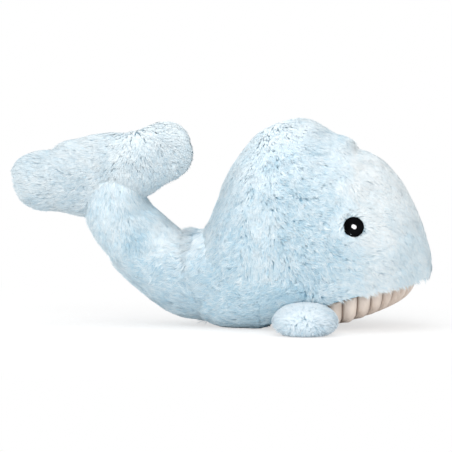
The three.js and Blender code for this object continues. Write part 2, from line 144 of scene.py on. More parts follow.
@dataclass
class Net:
    """A form's surface as rows of points with their outward normals."""

    points: np.ndarray
    normals: np.ndarray

    def inset(self, depth: float | np.ndarray) -> "Net":
        """The same net drawn in along its normals."""
        return Net(self.points - self.normals * depth, self.normals)

    def faces(self) -> np.ndarray:
        """Corner numbers of its four-sided faces, turned outwards.

        Returns:
            Four corner numbers for each face.
        """
        rows, columns = self.points.shape[:2]
        number = np.arange(rows * columns).reshape(rows, columns)
        quads = np.stack([number[:-1, :-1], number[1:, :-1], number[1:, 1:], number[:-1, 1:]], -1)
        quads = quads.reshape(-1, 4)
        flat, facing = self.points.reshape(-1, 3), self.normals.reshape(-1, 3)
        across = np.cross(flat[quads[:, 2]] - flat[quads[:, 0]], flat[quads[:, 3]] - flat[quads[:, 1]])
        outward = dot(across, facing[quads].mean(1)).sum() > 0
        return quads if outward else quads[:, ::-1]


class Form:
    """A rounded form that places a point for each share along and around it."""

    def place(self, along: np.ndarray, around: np.ndarray) -> np.ndarray:
        """Points of the surface, in metres in the frame."""
        raise NotImplementedError

    def net(self, rows: int, columns: int, start: float = 0.0, end: float = 1.0) -> Net:
        """Lays a net over the form.

        Args:
            rows: rows of points along it.
            columns: points around it.
            start: the first share along it.
            end: the last share along it.

        Returns:
            The net with outward normals.
        """
        along, around = np.meshgrid(
            np.linspace(start, end, rows), np.linspace(0, 1, columns), indexing="ij")
        step = 2e-3
        points = self.place(along, around)
        lengthwise = self.place(along + step, around) - self.place(along - step, around)
        crosswise = self.place(along, around + step) - self.place(along, around - step)
        facing = np.cross(lengthwise, crosswise)
        normals = unit(facing)
        middle = points.mean(1, keepdims=True)
        if dot(normals, points - middle).sum() < 0:
            normals = -normals
        weak = np.linalg.norm(facing, axis=-1, keepdims=True) < LEAST_AREA
        return Net(points, np.where(weak, unit(points - self.heart(points)), normals))

    def heart(self, points: np.ndarray) -> np.ndarray:
        """A place well inside the form for each point, to tell outward at its ends."""
        return points.reshape(-1, 3).mean(0)


# Forms of the toy

@dataclass
class BodyForm(Form):
    """Head and body above the lip seam: round above, pressed a little outwards below."""

    rear: float = -42.118 * MM
    length: float = 215 * MM
    width: float = 124 * MM
    height: float = 171 * MM
    fullness: float = 3                      # of the lower half: 2 is an ellipse, more is squarer
    lip_rear: tuple[float, float] = (39.882 * MM, 0.0)
    lip_bend: tuple[float, float] = (60.882 * MM, 18.5 * MM)
    lip_front: tuple[float, float] = (172.882 * MM, 42 * MM)
    # Shares along the length, crown, widest place and underside of the height, half width
    rows: np.ndarray = field(default_factory=lambda: np.array([
        [0.000, 0.225, 0.225, 0.225, 0.000], [0.009, 0.305, 0.228, 0.150, 0.230],
        [0.037, 0.365, 0.232, 0.107, 0.370], [0.065, 0.400, 0.238, 0.083, 0.450],
        [0.103, 0.438, 0.245, 0.062, 0.510], [0.136, 0.472, 0.255, 0.040, 0.570],
        [0.152, 0.505, 0.265, 0.026, 0.620], [0.185, 0.600, 0.285, 0.010, 0.700],
        [0.220, 0.696, 0.305, 0.000, 0.785], [0.258, 0.790, 0.325, -0.001, 0.854],
        [0.304, 0.881, 0.345, -0.003, 0.908], [0.357, 0.947, 0.358, -0.003, 0.954],
        [0.418, 0.982, 0.366, -0.003, 0.985], [0.486, 1.000, 0.370, -0.003, 1.000],
        [0.547, 0.988, 0.370, -0.003, 1.000], [0.608, 0.955, 0.368, 0.002, 0.985],
        [0.669, 0.916, 0.364, 0.010, 0.954], [0.730, 0.868, 0.358, 0.022, 0.900],
        [0.791, 0.816, 0.350, 0.038, 0.831], [0.844, 0.758, 0.342, 0.060, 0.741],
        [0.889, 0.685, 0.335, 0.092, 0.625], [0.927, 0.595, 0.328, 0.130, 0.500],
        [0.960, 0.497, 0.322, 0.172, 0.360], [0.984, 0.397, 0.316, 0.222, 0.200],
        [1.000, 0.310, 0.310, 0.310, 0.000]]))

    def lip_height(self, x: np.ndarray) -> np.ndarray:
        """Height of the lip seam at each place along the toy, far below the floor behind it.

        Args:
            x: places along the toy.

        Returns:
            The seam's height at each place.
        """
        t = np.linspace(0, 1, 200)
        line = [(1 - t) ** 2 * a + 2 * t * (1 - t) * b + t ** 2 * c
                for a, b, c in zip(self.lip_rear, self.lip_bend, self.lip_front)]
        return np.interp(x, line[0], line[1], left=-1.0)

    def place(self, along: np.ndarray, around: np.ndarray) -> np.ndarray:
        """Points from the right lip (around 0) over the crown to the left lip (around 1).

        Args:
            along: shares of the way along the form.
            around: shares of the way round it.

        Returns:
            The points, in metres in the frame.
        """
        share, top, widest, bottom, half = np.moveaxis(read_rows(self.rows, along), -1, 0)
        x = self.rear + share * self.length
        drop = widest * self.height - self.lip_height(x)
        reach = np.maximum((widest - bottom) * self.height, 1e-9)
        low = -np.arcsin(np.clip(drop / reach, 0, 1) ** (self.fullness / 2))
        angle = low + np.clip(around, 0, 1) * (np.pi - 2 * low)
        across, up = np.cos(angle), np.sin(angle)
        power = np.where(up < 0, 2 / self.fullness, 1)
        y = -powered(across, power) * half * self.width / 2
        tall = np.where(up < 0, reach, (top - widest) * self.height)
        z = widest * self.height + powered(up, power) * tall
        return np.stack([x, y, z], -1)

    def holds(self, points: np.ndarray, margin: float = 0.0) -> np.ndarray:
        """Whether each point lies inside the form drawn in by a margin.

        Args:
            points: places in the frame.
            margin: how far the form is drawn in.

        Returns:
            True for each point inside.
        """
        table = read_rows(self.rows, np.linspace(0, 1, 400))
        share = (points[..., 0] - self.rear) / self.length
        top, widest, bottom, half = (np.interp(share, table[:, 0], table[:, k]) for k in (1, 2, 3, 4))
        rise = points[..., 2] - widest * self.height
        reach = np.where(rise < 0, widest - bottom, top - widest) * self.height - margin
        side = half * self.width / 2 - margin
        power = np.where(rise < 0, self.fullness, 2)
        spread = (np.abs(points[..., 1]) / np.maximum(side, 1e-6)) ** power
        spread = spread + (np.abs(rise) / np.maximum(reach, 1e-6)) ** power
        return (spread < 1) & (share > 0) & (share < 1) & (side > 0) & (reach > 0)

    def heart(self, points: np.ndarray) -> np.ndarray:
        """Middle of the body."""
        return np.array([self.rear + self.length / 2, 0, 0.36 * self.height])


@dataclass
class TailForm(Form):
    """Tail stock: a stuffed tube that leaves the rump low down and turns up."""

    # Place along the toy, height, radius and half width at each knot
    knots: np.ndarray = field(default_factory=lambda: MM * np.array([
        [6.882, 44, 33, 46], [-13.118, 42.5, 37, 41], [-29.118, 42, 33.5, 35], [-49.118, 53, 29.5, 30],
        [-72.118, 75, 27, 27], [-86.618, 96, 24.5, 24.5], [-95.8, 130.0, 22.5, 22.5]]))
    seam: np.ndarray = field(default_factory=lambda: MM * np.array([-86.618, 0, 96]))
    upward: np.ndarray = field(default_factory=lambda: np.array([-0.25882, 0, 0.96593]))
    shoulder: float = 24.2 * MM           # radius of its end under the fluke
    shoulder_rise: float = 38 * MM        # how far up the fluke its fur runs on

    def place(self, along: np.ndarray, around: np.ndarray) -> np.ndarray:
        """Points from the rump (along 0) to the fluke (along 1).

        Args:
            along: shares of the way along the form.
            around: shares of the way round it.

        Returns:
            The points, in metres in the frame.
        """
        x, z, radius, wide = np.moveaxis(read_rows(self.knots, along), -1, 0)
        ahead = read_rows(self.knots, along + 1e-3) - read_rows(self.knots, along - 1e-3)
        course = unit(np.stack([ahead[..., 0], 0 * x, ahead[..., 1]], -1))
        over = np.stack([-course[..., 2], 0 * x, course[..., 0]], -1)
        turn = around * 2 * np.pi
        spread = over * (radius * np.cos(turn))[..., None]
        spread[..., 1] += wide * np.sin(turn)
        point = np.stack([x, 0 * x, z], -1) + spread
        above = np.maximum((point - self.seam) @ self.upward, 0) / self.shoulder_rise
        point[..., 1] *= np.sqrt(np.clip(1 - above ** 2, 0.02, 1))
        return point

    def holds(self, points: np.ndarray, margin: float = 0.0) -> np.ndarray:
        """Whether each point lies inside the form drawn in by a margin.

        Args:
            points: places in the frame.
            margin: how far the form is drawn in.

        Returns:
            True for each point inside.
        """
        line = read_rows(self.knots, np.linspace(0, 5 / 6, 70))
        inside = np.zeros(points.shape[:-1], bool)
        for x, z, radius, wide in line:
            gap = np.sqrt((points[..., 0] - x) ** 2 + (points[..., 1] * radius / wide) ** 2
                          + (points[..., 2] - z) ** 2)
            inside |= gap < radius - margin
        gap = points - self.seam
        across = np.hypot((gap @ self.upward) * self.shoulder / self.shoulder_rise, gap[..., 1])
        aside = np.abs(gap @ np.array([self.upward[2], 0, -self.upward[0]]))
        return inside | ((across < self.shoulder - margin) & (aside < self.shoulder - margin))


@dataclass
class FlukeForm(Form):
    """Fluke: two flat stuffed lobes standing across the end of the tail."""

    seam: np.ndarray = field(default_factory=lambda: MM * np.array([-86.618, 0, 96]))
    lean: float = math.radians(15)
    half_span: float = 74.5 * MM
    chord: float = 61 * MM
    thickness: float = 36 * MM
    shift: float = 3 * MM
    front_rise: float = 2 * MM
    rear_rise: float = 6 * MM
    # Shares of the half span, of the chord for the middle and half chord, of the thickness
    rows: np.ndarray = field(default_factory=lambda: np.array([
        [0.00, 0.525, 0.520, 0.50], [0.24, 0.525, 0.505, 0.52], [0.45, 0.540, 0.450, 0.51],
        [0.62, 0.565, 0.410, 0.48], [0.78, 0.570, 0.380, 0.43], [0.90, 0.570, 0.310, 0.34],
        [0.97, 0.570, 0.200, 0.22], [1.00, 0.570, 0.000, 0.00]]))

    @property
    def upward(self) -> np.ndarray:
        """Direction from the seam up to the fluke's edge."""
        return np.array([-math.sin(self.lean), 0, math.cos(self.lean)])

    @property
    def outward(self) -> np.ndarray:
        """Direction along the lobes, towards the head."""
        return np.array([math.cos(self.lean), 0, math.sin(self.lean)])

    def place(self, along: np.ndarray, around: np.ndarray) -> np.ndarray:
        """Points from the rear lobe's tip (along 0) to the front lobe's tip (along 1).

        Args:
            along: shares of the way along the form.
            around: shares of the way round it.

        Returns:
            The points, in metres in the frame.
        """
        share = 2 * along - 1
        out, middle, half, thick = np.moveaxis(read_rows(self.rows, np.abs(share)), -1, 0)
        turn = around * 2 * np.pi
        rise = np.where(share > 0, self.front_rise, self.rear_rise) * out ** 2
        up = (middle + half * np.cos(turn)) * self.chord + rise
        reach = np.sign(share) * out * self.half_span - self.shift
        point = self.seam + reach[..., None] * self.outward + up[..., None] * self.upward
        point[..., 1] += thick * self.thickness * np.sin(turn)
        return point

    def holds(self, points: np.ndarray, margin: float = 0.0) -> np.ndarray:
        """Whether each point lies inside the form drawn in by a margin.

        Args:
            points: places in the frame.
            margin: how far the form is drawn in.

        Returns:
            True for each point inside.
        """
        table = read_rows(self.rows, np.linspace(0, 1, 200))
        gap = points - self.seam
        out, up = gap @ self.outward + self.shift, gap @ self.upward
        share = np.abs(out) / self.half_span
        middle, half, thick = (np.interp(share, table[:, 0], table[:, k]) for k in (1, 2, 3))
        rise = np.where(out > 0, self.front_rise, self.rear_rise) * share ** 2
        tall = np.maximum(half * self.chord - margin, 1e-6)
        deep = np.maximum(thick * self.thickness - margin, 1e-6)
        spread = ((up - middle * self.chord - rise) / tall) ** 2 + (gap[..., 1] / deep) ** 2
        return (spread < 1) & (share < 1)


@dataclass
class FlipperForm(Form):
    """Flipper: a soft flat paddle sewn to the flank."""

    side: Side = Side.RIGHT
    seam: np.ndarray = field(default_factory=lambda: MM * np.array([73.382, -54.678, 16.7]))
    root: float = 8.16 * MM
    length: float = 52 * MM
    chord: float = 50 * MM
    thickness: float = 24 * MM
    droop: float = math.radians(12)
    forward: float = math.radians(6)
    # Shares of the length, of the chord and of the thickness
    rows: np.ndarray = field(default_factory=lambda: np.array([
        [0.00, 0.70, 0.00], [0.03, 0.74, 0.38], [0.12, 0.80, 0.63], [0.30, 0.92, 0.90],
        [0.55, 1.00, 1.00], [0.78, 0.88, 0.88], [0.92, 0.58, 0.60], [0.98, 0.30, 0.32],
        [1.00, 0.00, 0.00]]))

    @property
    def axes(self) -> np.ndarray:
        """The matrix that droops the right flipper and turns it forward."""
        droop = np.array(Matrix.Rotation(self.droop, 3, "X"))
        return np.array(Matrix.Rotation(self.forward, 3, "Z")) @ droop

    @property
    def mirror(self) -> np.ndarray:
        """Signs that carry a place of the right flipper to this one."""
        return np.array([1, -self.side.value, 1])

    def turned(self, vectors: np.ndarray) -> np.ndarray:
        """Vectors turned from the flipper's own axes to the frame's."""
        return vectors @ self.axes.T * self.mirror

    def own(self, points: np.ndarray) -> np.ndarray:
        """Points of the frame in the flipper's own axes."""
        return (points * self.mirror - self.seam) @ self.axes

    def placed(self, points: np.ndarray) -> np.ndarray:
        """Points of the flipper's own axes in the frame."""
        return self.turned(points) + self.seam * self.mirror

    def place(self, along: np.ndarray, around: np.ndarray) -> np.ndarray:
        """Points from the seam (along 0) to the tip (along 1).

        Args:
            along: shares of the way along the form.
            around: shares of the way round it.

        Returns:
            The points, in metres in the frame.
        """
        share, chord, thick = np.moveaxis(read_rows(self.rows, along), -1, 0)
        turn = around * 2 * np.pi
        return self.placed(np.stack([
            chord * self.chord / 2 * np.cos(turn), self.root - share * self.length,
            thick * self.thickness / 2 * np.sin(turn)], -1))

    def holds(self, points: np.ndarray, margin: float = 0.0) -> np.ndarray:
        """Whether each point lies inside the form drawn in by a margin.

        Args:
            points: places in the frame.
            margin: how far the form is drawn in.

        Returns:
            True for each point inside.
        """
        table = read_rows(self.rows, np.linspace(0, 1, 200))
        own = self.own(points)
        share = (self.root - own[..., 1]) / self.length
        chord, thick = (np.interp(share, table[:, 0], table[:, k]) for k in (1, 2))
        wide = np.maximum(chord * self.chord / 2 - margin, 1e-6)
        deep = np.maximum(thick * self.thickness / 2 - margin, 1e-6)
        return ((own[..., 0] / wide) ** 2 + (own[..., 2] / deep) ** 2 < 1) & (share > 0) & (share < 1)


@dataclass
class BellyForm(Form):
    """The bowl of ribbed cloth under the lip."""

    centre: float = 80.882 * MM
    front: float = 80 * MM
    rear: float = 43 * MM
    half_width: float = 51 * MM
    wall: float = 44 * MM
    rise: float = 21 * MM
    low: float = -0.5 * MM
    ribs: int = 38
    rib_depth: float = 4.4 * MM
    rib_roundness: float = 0.55   # power of a rib's section: less is flatter with a sharper crease
    rib_growth: float = 1.6       # how fast the ribs deepen away from the underside's middle
    rib_start: float = 0.5
    scallop: float = 4.5 * MM     # how far the creases stand over the ribs under the chin
    hollow: float = 5 * MM        # how far the underside is drawn in behind the rib ends there
    sag: float = 6 * MM           # how far the rib ends hang down there
    fullness: float = 2.3
    squareness: float = 5
    rise_power: float = 1.15
    upright: float = 0.7          # how straight the ribs run down the wall
    upright_from: float = 0.25    # share of the way out where they start to
    upright_limit: int = 6        # power that keeps them from crossing at the front and the rear
    chin_growth: float = 4.0      # how soon ahead of the middle the chin's form sets in

    def place(self, along: np.ndarray, around: np.ndarray) -> np.ndarray:
        """Points from the middle of the underside (along 0) to the top of the wall (along 1).

        Args:
            along: shares of the way along the form.
            around: shares of the way round it.

        Returns:
            The points, in metres in the frame.
        """
        turn = np.clip(along, 1e-4, 1) * np.pi / 2
        out = np.sin(turn) ** (2 / self.squareness)
        up = 1 - np.cos(turn) ** (2 / self.squareness)
        angle = around * 2 * np.pi
        swell = np.abs(np.sin(self.ribs * angle / 2))
        grown = np.clip(out * self.rib_growth - self.rib_start, 0, 1)
        flute = self.rib_depth * (swell ** self.rib_roundness - 1) * grown
        reach = np.where(np.cos(angle) > 0, self.front, self.rear) + flute
        share = powered(np.cos(angle), 2 / self.fullness)
        lean = share * np.maximum(out, self.upright_from) ** -self.upright
        limit = self.upright_limit
        share = lean / (1 + lean ** limit - share ** limit) ** (1 / limit)
        x = reach * out * share
        y = (self.half_width + flute) * out * np.sign(np.sin(angle)) * (
            np.maximum(1 - np.abs(share) ** self.fullness, 0) ** (1 / self.fullness))
        lift = self.rise * (np.maximum(0, x) / self.front) ** self.rise_power
        chin = np.clip(x / self.front * self.chin_growth, 0, 1)
        lift += chin * (self.scallop * (1 - swell) * (1 - up) + self.hollow * (1 - out ** 4)
                        - self.sag * (1 - x / self.front))
        return np.stack([self.centre + x, y, self.low + lift + up * self.wall], -1)

    def heart(self, points: np.ndarray) -> np.ndarray:
        """Middle of the bowl."""
        return np.array([self.centre, 0, self.wall])


# Meshes

@dataclass
class Parts:
    """What a mesh is made of."""

    points: np.ndarray
    quads: np.ndarray
    tris: np.ndarray = field(default_factory=lambda: np.zeros((0, 3), int))
    maps: dict[str, np.ndarray] = field(default_factory=dict)      # name of a UV map: one place a point
    normals: np.ndarray | None = None

    def build(self, name: str, material: bpy.types.Material) -> bpy.types.Object:
        """Makes the object.

        Args:
            name: the piece's name.
            material: its finish.

        Returns:
            The object, in the scene and not yet riding on a body.
        """
        mesh = bpy.data.meshes.new(name)
        points = self.points.copy()
        points[:, 2] = np.maximum(points[:, 2], FLOOR_GAP)
        mesh.vertices.add(len(points))
        mesh.vertices.foreach_set("co", points.astype(np.float32).ravel())
        corners = np.concatenate([self.quads.ravel(), self.tris.ravel()]).astype(np.int32)
        mesh.loops.add(len(corners))
        mesh.loops.foreach_set("vertex_index", corners)
        starts = np.concatenate([
            np.arange(len(self.quads)) * 4, 4 * len(self.quads) + np.arange(len(self.tris)) * 3])
        mesh.polygons.add(len(starts))
        mesh.polygons.foreach_set("loop_start", starts.astype(np.int32))
        mesh.update(calc_edges=True)
        mesh.shade_smooth()
        for map_name, places in self.maps.items():
            layer = mesh.uv_layers.new(name=map_name)
            layer.data.foreach_set("uv", places[corners].astype(np.float32).ravel())
        if self.normals is not None:
            mesh.normals_split_custom_set_from_vertices(unit(self.normals).astype(np.float32))
        mesh.materials.append(material)
        piece = bpy.data.objects.new(name, mesh)
        bpy.context.scene.collection.objects.link(piece)
        return piece


def skin(net: Net, keep: Picker, thickness: float,
         maps: dict[str, np.ndarray] | None = None) -> Parts:
    """Cuts a cloth with a thickness out of a net.

    Args:
        net: the cloth's outer face.
        keep: tells which points belong to it.
        thickness: how thick the cloth is.
        maps: UV maps by name, one place for each of the net's points.

    Returns:
        The cloth's parts, closed along its edges.
    """
    quads = net.faces()
    flat = net.points.reshape(-1, 3)
    quads = quads[keep(flat)[quads].all(1)]
    used, renumbered = np.unique(quads, return_inverse=True)
    quads = renumbered.reshape(-1, 4)
    outer = flat[used]
    inner = outer - net.normals.reshape(-1, 3)[used] * thickness
    edges = np.concatenate([quads[:, [k, (k + 1) % 4]] for k in range(4)])
    both = {tuple(e) for e in edges[:, ::-1].tolist()}
    rim = np.array([e for e in edges.tolist() if tuple(e) not in both]).reshape(-1, 2)
    step = len(outer)
    walls = np.stack([rim[:, 1], rim[:, 0], rim[:, 0] + step, rim[:, 1] + step], 1)
    kept = {name: np.tile(places.reshape(-1, 2)[used], (2, 1)) for name, places in (maps or {}).items()}
    return Parts(np.concatenate([outer, inner]),
                 np.concatenate([quads, quads[:, ::-1] + step, walls]), maps=kept)


# Pile

@dataclass(frozen=True)
class Guide:
    """How the pile lies at one place of the toy's profile."""

    x: float
    z: float
    heading: float      # degrees: 0 towards the snout, 90 up
    ruffle: float       # 0 combed smooth to 1 ruffled
    # The tone holds painted light and shade as well as the pile's own mottling.
    tone: float         # 0 deep to 1 pale


@dataclass(frozen=True)
class Loft:
    """A place of the profile where the pile stands higher, or lower."""

    x: float
    z: float
    reach: float
    height: float


class Lie(NamedTuple):
    """How the pile lies at some places."""

    course: np.ndarray      # directions along the surface
    ruffle: np.ndarray
    tone: np.ndarray
    flat: np.ndarray        # how far it reaches: less where directions part or meet


@dataclass
class Combing:
    """Which way the pile lies, how ruffled it is and how pale, all over the toy."""

    guides: tuple[Guide, ...]
    lofts: tuple[Loft, ...] = ()
    soft: float = 9 * MM          # how smoothly one guide gives way to the next
    fall: float = 0.30            # how much the pile hangs besides its heading
    outward: float = 0.3          # how much it turns away from the middle plane
    forward: float = 0.3          # how much it lies towards the snout along the crown
    forward_by: float = 20 * MM   # where it does so fully
    parting: float = 12 * MM      # how wide the parting over the middle plane is
    eye_reach: float = 21 * MM    # from the middle of an eye to where the pile is combed round it
    eye_edge: float = 0.4         # share of that reach over which the combing sets in
    eye_push: float = 0.15        # how much the pile is combed away from the eye
    eye_turn: float = 1.15        # how much more where it would lie across the eye
    agreed: float = 0.65          # how well the guides agree where the pile reaches fully
    level: float = 0.6            # how far a direction lies along the surface there
    least: float = 0.6            # how far the pile reaches elsewhere

    def at(self, points: np.ndarray, normals: np.ndarray) -> Lie:
        """Reads the combing.

        Args:
            points: places on the surface.
            normals: its outward normals there.

        Returns:
            How the pile lies there.
        """
        table = np.array([[g.x, g.z, g.heading, g.ruffle, g.tone] for g in self.guides])
        gap = points[:, None, [0, 2]] - table[None, :, :2]
        weight = 1 / ((gap ** 2).sum(-1) + self.soft ** 2) ** 2
        weight /= weight.sum(1, keepdims=True)
        turn = np.radians(table[:, 2])
        course = np.stack([weight @ np.cos(turn), 0 * points[:, 0], weight @ np.sin(turn)], -1)
        sure = np.linalg.norm(course, axis=1)
        course = unit(course)
        course[:, 1] = np.tanh(points[:, 1] / self.parting) * self.outward * np.abs(normals[:, 1])
        top = 1 - np.abs(normals[:, 1])
        course[:, 0] += self.forward * top * np.clip(points[:, 0] / self.forward_by, 0, 1)
        course[:, 2] -= self.fall * top
        for side in Side:
            gap = points - Eye(side).place
            reach = np.linalg.norm(gap, axis=1, keepdims=True)
            near = np.clip((self.eye_reach - reach) / (self.eye_edge * self.eye_reach), 0, 1)
            away = unit(gap)
            push = self.eye_push + self.eye_turn * np.maximum(-dot(course, away), 0)
            course = course + away * near * push
            sure = np.maximum(sure, near[:, 0])
        course = course - normals * dot(course, normals)
        sure = np.minimum(sure / self.agreed, np.linalg.norm(course, axis=1) / self.level)
        return Lie(unit(course), weight @ table[:, 3], weight @ table[:, 4], np.clip(sure, self.least, 1))

    def lofted(self, points: np.ndarray) -> np.ndarray:
        """How much higher the pile stands at each place.

        Args:
            points: places on the surface.

        Returns:
            The height over the plain form at each place.
        """
        height = np.zeros(len(points))
        for loft in self.lofts:
            gap = (points[:, 0] - loft.x) ** 2 + (points[:, 2] - loft.z) ** 2
            height += loft.height * np.exp(-gap / (2 * loft.reach ** 2))
        return height


# A strand's points: three at its root, three halfway up and its tip, joined in two faces of four
# corners and two of three
STRAND_POINTS = 7
STRAND_QUADS = np.array([[0, 3, 4, 1], [1, 4, 5, 2]])
STRAND_TRIS = np.array([[3, 6, 4], [4, 6, 5]])
STRAND_TRIANGLES = 2 * len(STRAND_QUADS) + len(STRAND_TRIS)


@dataclass(frozen=True)
class Pile:
    """Fur of one kind: thin strands that cling together in fine wisps."""

    wisps: float = 0.64 / MM ** 2       # to a square metre
    strands: int = 5                    # in a wisp
    length: float = 8.5 * MM
    rise: float = 2.0 * MM              # of the tips over the form's surface
    depth: float = 1.9 * MM             # of the roots under it
    width: float = 0.5 * MM
    ridge: float = 0.22                 # height of a strand's back, as a share of its width
    spread: float = 0.5 * MM            # of the roots of a wisp
    cling: float = 0.45                 # how closely its tips come together
    cling_power: float = 0.8            # less gathers them sooner along the strands
    run_power: float = 1.1              # less lays them down sooner
    roll: float = 0.5                   # how far the two sides of a strand face aside
    curl: float = 0.35 * MM
    drape: float = 0.5                  # how closely the strands follow a rounded surface
    bends: tuple[float, float] = (-0.75, 0.95)      # least and most turn of the surface that counts
    drawn_in: float = 0.22              # how much shorter the strands reach where it turns most
    laid: float = 0.35                  # how much flatter they lie on top of the toy
    lean: float = 0.25                  # of a tip's shading towards its direction
    most_faces: int = 190_000           # of a piece, in triangles

    # Scatter
    rough: tuple[float, float] = (0.25, 0.95)       # of smooth pile, and what full ruffling adds
    scatter: float = 0.16               # of the wisps' headings, in radians
    scattered: tuple[float, float] = (0.5, 1.6)     # its share in smooth pile, and what ruffling adds
    whorl: float = 0.8                  # what it grows by where the pile parts or meets
    stray: float = 0.16                 # of the strands' headings in a wisp
    # For each set of eddies its size, its turn in smooth pile and what ruffling adds, in radians
    eddies: tuple[tuple[float, float, float], ...] = ((24 * MM, 0.12, 0.35), (9 * MM, 0.05, 0.35))
    uneven: float = 0.35 * MM           # of the tips' heights
    swell: float = 0.5 * MM             # of soft humps in the pile
    swell_size: float = 18 * MM
    lengths: tuple[float, float] = (0.82, 1.12)
    drawn_up: float = 0.2               # how much shorter ruffled pile is
    sizes: float = 0.10                 # of the strands in a wisp
    tilt: float = 0.25                  # of a strand round its own length, in radians

    # Partings between wisps
    parting_size: float = 7.5 * MM
    parting_from: float = 0.55          # how far up the waves the partings start
    parting_edge: float = 2.2           # how sharply
    parting_depth: float = 0.2 * MM

    # Tones
    # Painted shade: a parting's strands are drawn deeper in tone.
    parting_shade: float = 0.2           # how much deeper a parting is
    clouds: float = 0.08
    cloud_size: float = 13 * MM
    tufts: float = 0.25                 # in ruffled pile
    tuft_size: float = 4 * MM
    wisp_tones: float = 0.17
    strand_tones: float = 0.2
    tones: tuple[float, float] = (0.03, 0.97)       # the least and the most
    map_ends: tuple[float, float] = (0.02, 0.98)    # a strand's root and tip in its map
    # Painted light: where the pile parts or meets and reaches less, its roots take the paler colours from
    # further up the map.
    parted_root_light: float = 0.9              # how much further up the map short strands start

    def grow(self, net: Net, keep: Picker, combing: Combing, seed: int) -> list[Parts]:
        """Grows the pile on a net.

        Args:
            net: the form's surface.
            keep: tells which roots belong to the piece.
            combing: which way the pile lies.
            seed: the piece's own scatter.

        Returns:
            The strands as parts, in bands along the toy, with each strand's shade map.
        """
        rng = np.random.default_rng(seed)
        place, normal = self.roots(net, keep, rng)
        lie = self.lie(place, normal, combing, rng)
        course, ruffle, _, flat = lie
        side = np.cross(normal, course)
        count = len(place)
        each = (count, self.strands)
        rough = self.roughness(ruffle)

        far = self.normals_at(net, place + course * self.length)
        bend = np.clip(dot(far, course)[:, 0], *self.bends)
        crests = waves(place, self.parting_size, seed + 5) - self.parting_from
        parted = np.clip(crests * self.parting_edge, 0, 1) * ruffle
        rise = (self.rise + rng.normal(0, self.uneven, count) * rough
                + self.swell * waves(place, self.swell_size, seed + 6))
        rise -= parted * self.parting_depth
        length = self.length * (1 - self.drawn_up * ruffle) * rng.uniform(*self.lengths, count)
        fall = self.drape * length * bend * flat
        lying = flat * (1 - self.laid * (1 - np.abs(normal[:, 1])))

        spread = rng.normal(0, self.spread, (*each, 2))
        own = rng.normal(1, self.sizes, each)
        lift = rng.normal(0, self.uneven, each) * rough[:, None]
        sway = rng.normal(0, self.curl, each)
        tilt = rng.uniform(-self.tilt, self.tilt, each)
        veer = rng.normal(0, self.stray, each) * rough[:, None]

        reach = (length * flat * (1 - self.drawn_in * bend ** 2))[:, None] * own
        points, facings = [], []
        across = unit(side[:, None] * np.cos(tilt)[..., None] + normal[:, None] * np.sin(tilt)[..., None])
        for step, width in ((0.0, 0.7), (0.5, 1.0), (1.0, 0.0)):      # root, middle and tip
            close = 1 - self.cling * step ** self.cling_power
            run = reach * step ** self.run_power
            along = run * np.cos(veer) + spread[..., 1] * close
            aside = run * np.sin(veer) + spread[..., 0] * close + sway * np.sin(np.pi * step)
            up = -self.depth + (self.depth + rise[:, None]) * (1 - (1 - step) ** 2)
            up = (up + lift * step) * lying[:, None] ** 2 - fall[:, None] * step ** 2
            middle = (place[:, None] + course[:, None] * along[..., None]
                      + side[:, None] * aside[..., None] + normal[:, None] * up[..., None])
            facing = unit(normal[:, None] + course[:, None] * self.lean * step)
            if width:
                half = across * (0.5 * width * self.width * own[..., None])
                back = facing * (width * self.ridge * self.width)
                points += [middle - half, middle + back, middle + half]
                facings += [facing - across * self.roll, facing, facing + across * self.roll]
            else:
                points += [middle]
                facings += [facing]
        facings = [np.broadcast_to(facing, middle.shape) for facing in facings]
        maps = self.maps(place, lie, parted, rng, seed)
        return self.banded(place, np.stack(points, 2), np.stack(facings, 2), maps)

    def maps(self, place: np.ndarray, lie: Lie, parted: np.ndarray, rng: np.random.Generator,
             seed: int) -> np.ndarray:
        """Places each strand's points in the shade map.

        Args:
            place: the wisps' places.
            lie: how they lie.
            parted: how deep in a parting each wisp stands.
            rng: the scatter.
            seed: the piece's own seed.

        Returns:
            For each of a strand's seven points the way up the strand and its tone.
        """
        rough = self.roughness(lie.ruffle)
        # The combing's tone carries painted light and shade, and partings get painted shade.
        shade = (lie.tone + self.clouds * waves(place, self.cloud_size, seed + 7)
                 - self.parting_shade * parted)
        shade += (self.tufts * lie.ruffle * waves(place, self.tuft_size, seed + 8)
                  + rng.normal(0, self.wisp_tones, len(place)) * rough)
        own = rng.normal(0, self.strand_tones, (len(place), self.strands)) * rough[:, None]
        shade = np.clip(shade[:, None] + own, *self.tones)
        across = np.array([-1, 0, 1, -1, 0, 1, 0]) * 0.003      # so that the map has an area
        along = np.array([0, 0, 0, 0.5, 0.5, 0.5, 1.0])
        root, tip = self.map_ends
        # Painted light: paler roots where the pile reaches less.
        start = (root + self.parted_root_light * (1 - lie.flat))[:, None, None]
        return np.stack(np.broadcast_arrays(start + (tip - start) * along, shade[..., None] + across), -1)

    def banded(self, place: np.ndarray, points: np.ndarray, normals: np.ndarray,
               maps: np.ndarray) -> list[Parts]:
        """Gathers the strands in bands of a bearable size along the toy.

        Args:
            place: the wisps' places.
            points: for each wisp and strand its seven points.
            normals: their normals.
            maps: their places in the shade map.

        Returns:
            One mesh's parts for each band.
        """
        bands = []
        pieces = math.ceil(len(place) * self.strands * STRAND_TRIANGLES / self.most_faces)
        for band in np.array_split(np.argsort(place[:, 0]), pieces):
            first = np.arange(len(band) * self.strands)[:, None, None] * STRAND_POINTS
            quads = (first + STRAND_QUADS).reshape(-1, 4)
            tris = (first + STRAND_TRIS).reshape(-1, 3)
            shades = maps[band].reshape(-1, 2)
            bands.append(Parts(points[band].reshape(-1, 3), quads, tris,
                               {"OFBake": shades, "strand": shades}, normals[band].reshape(-1, 3)))
        return bands

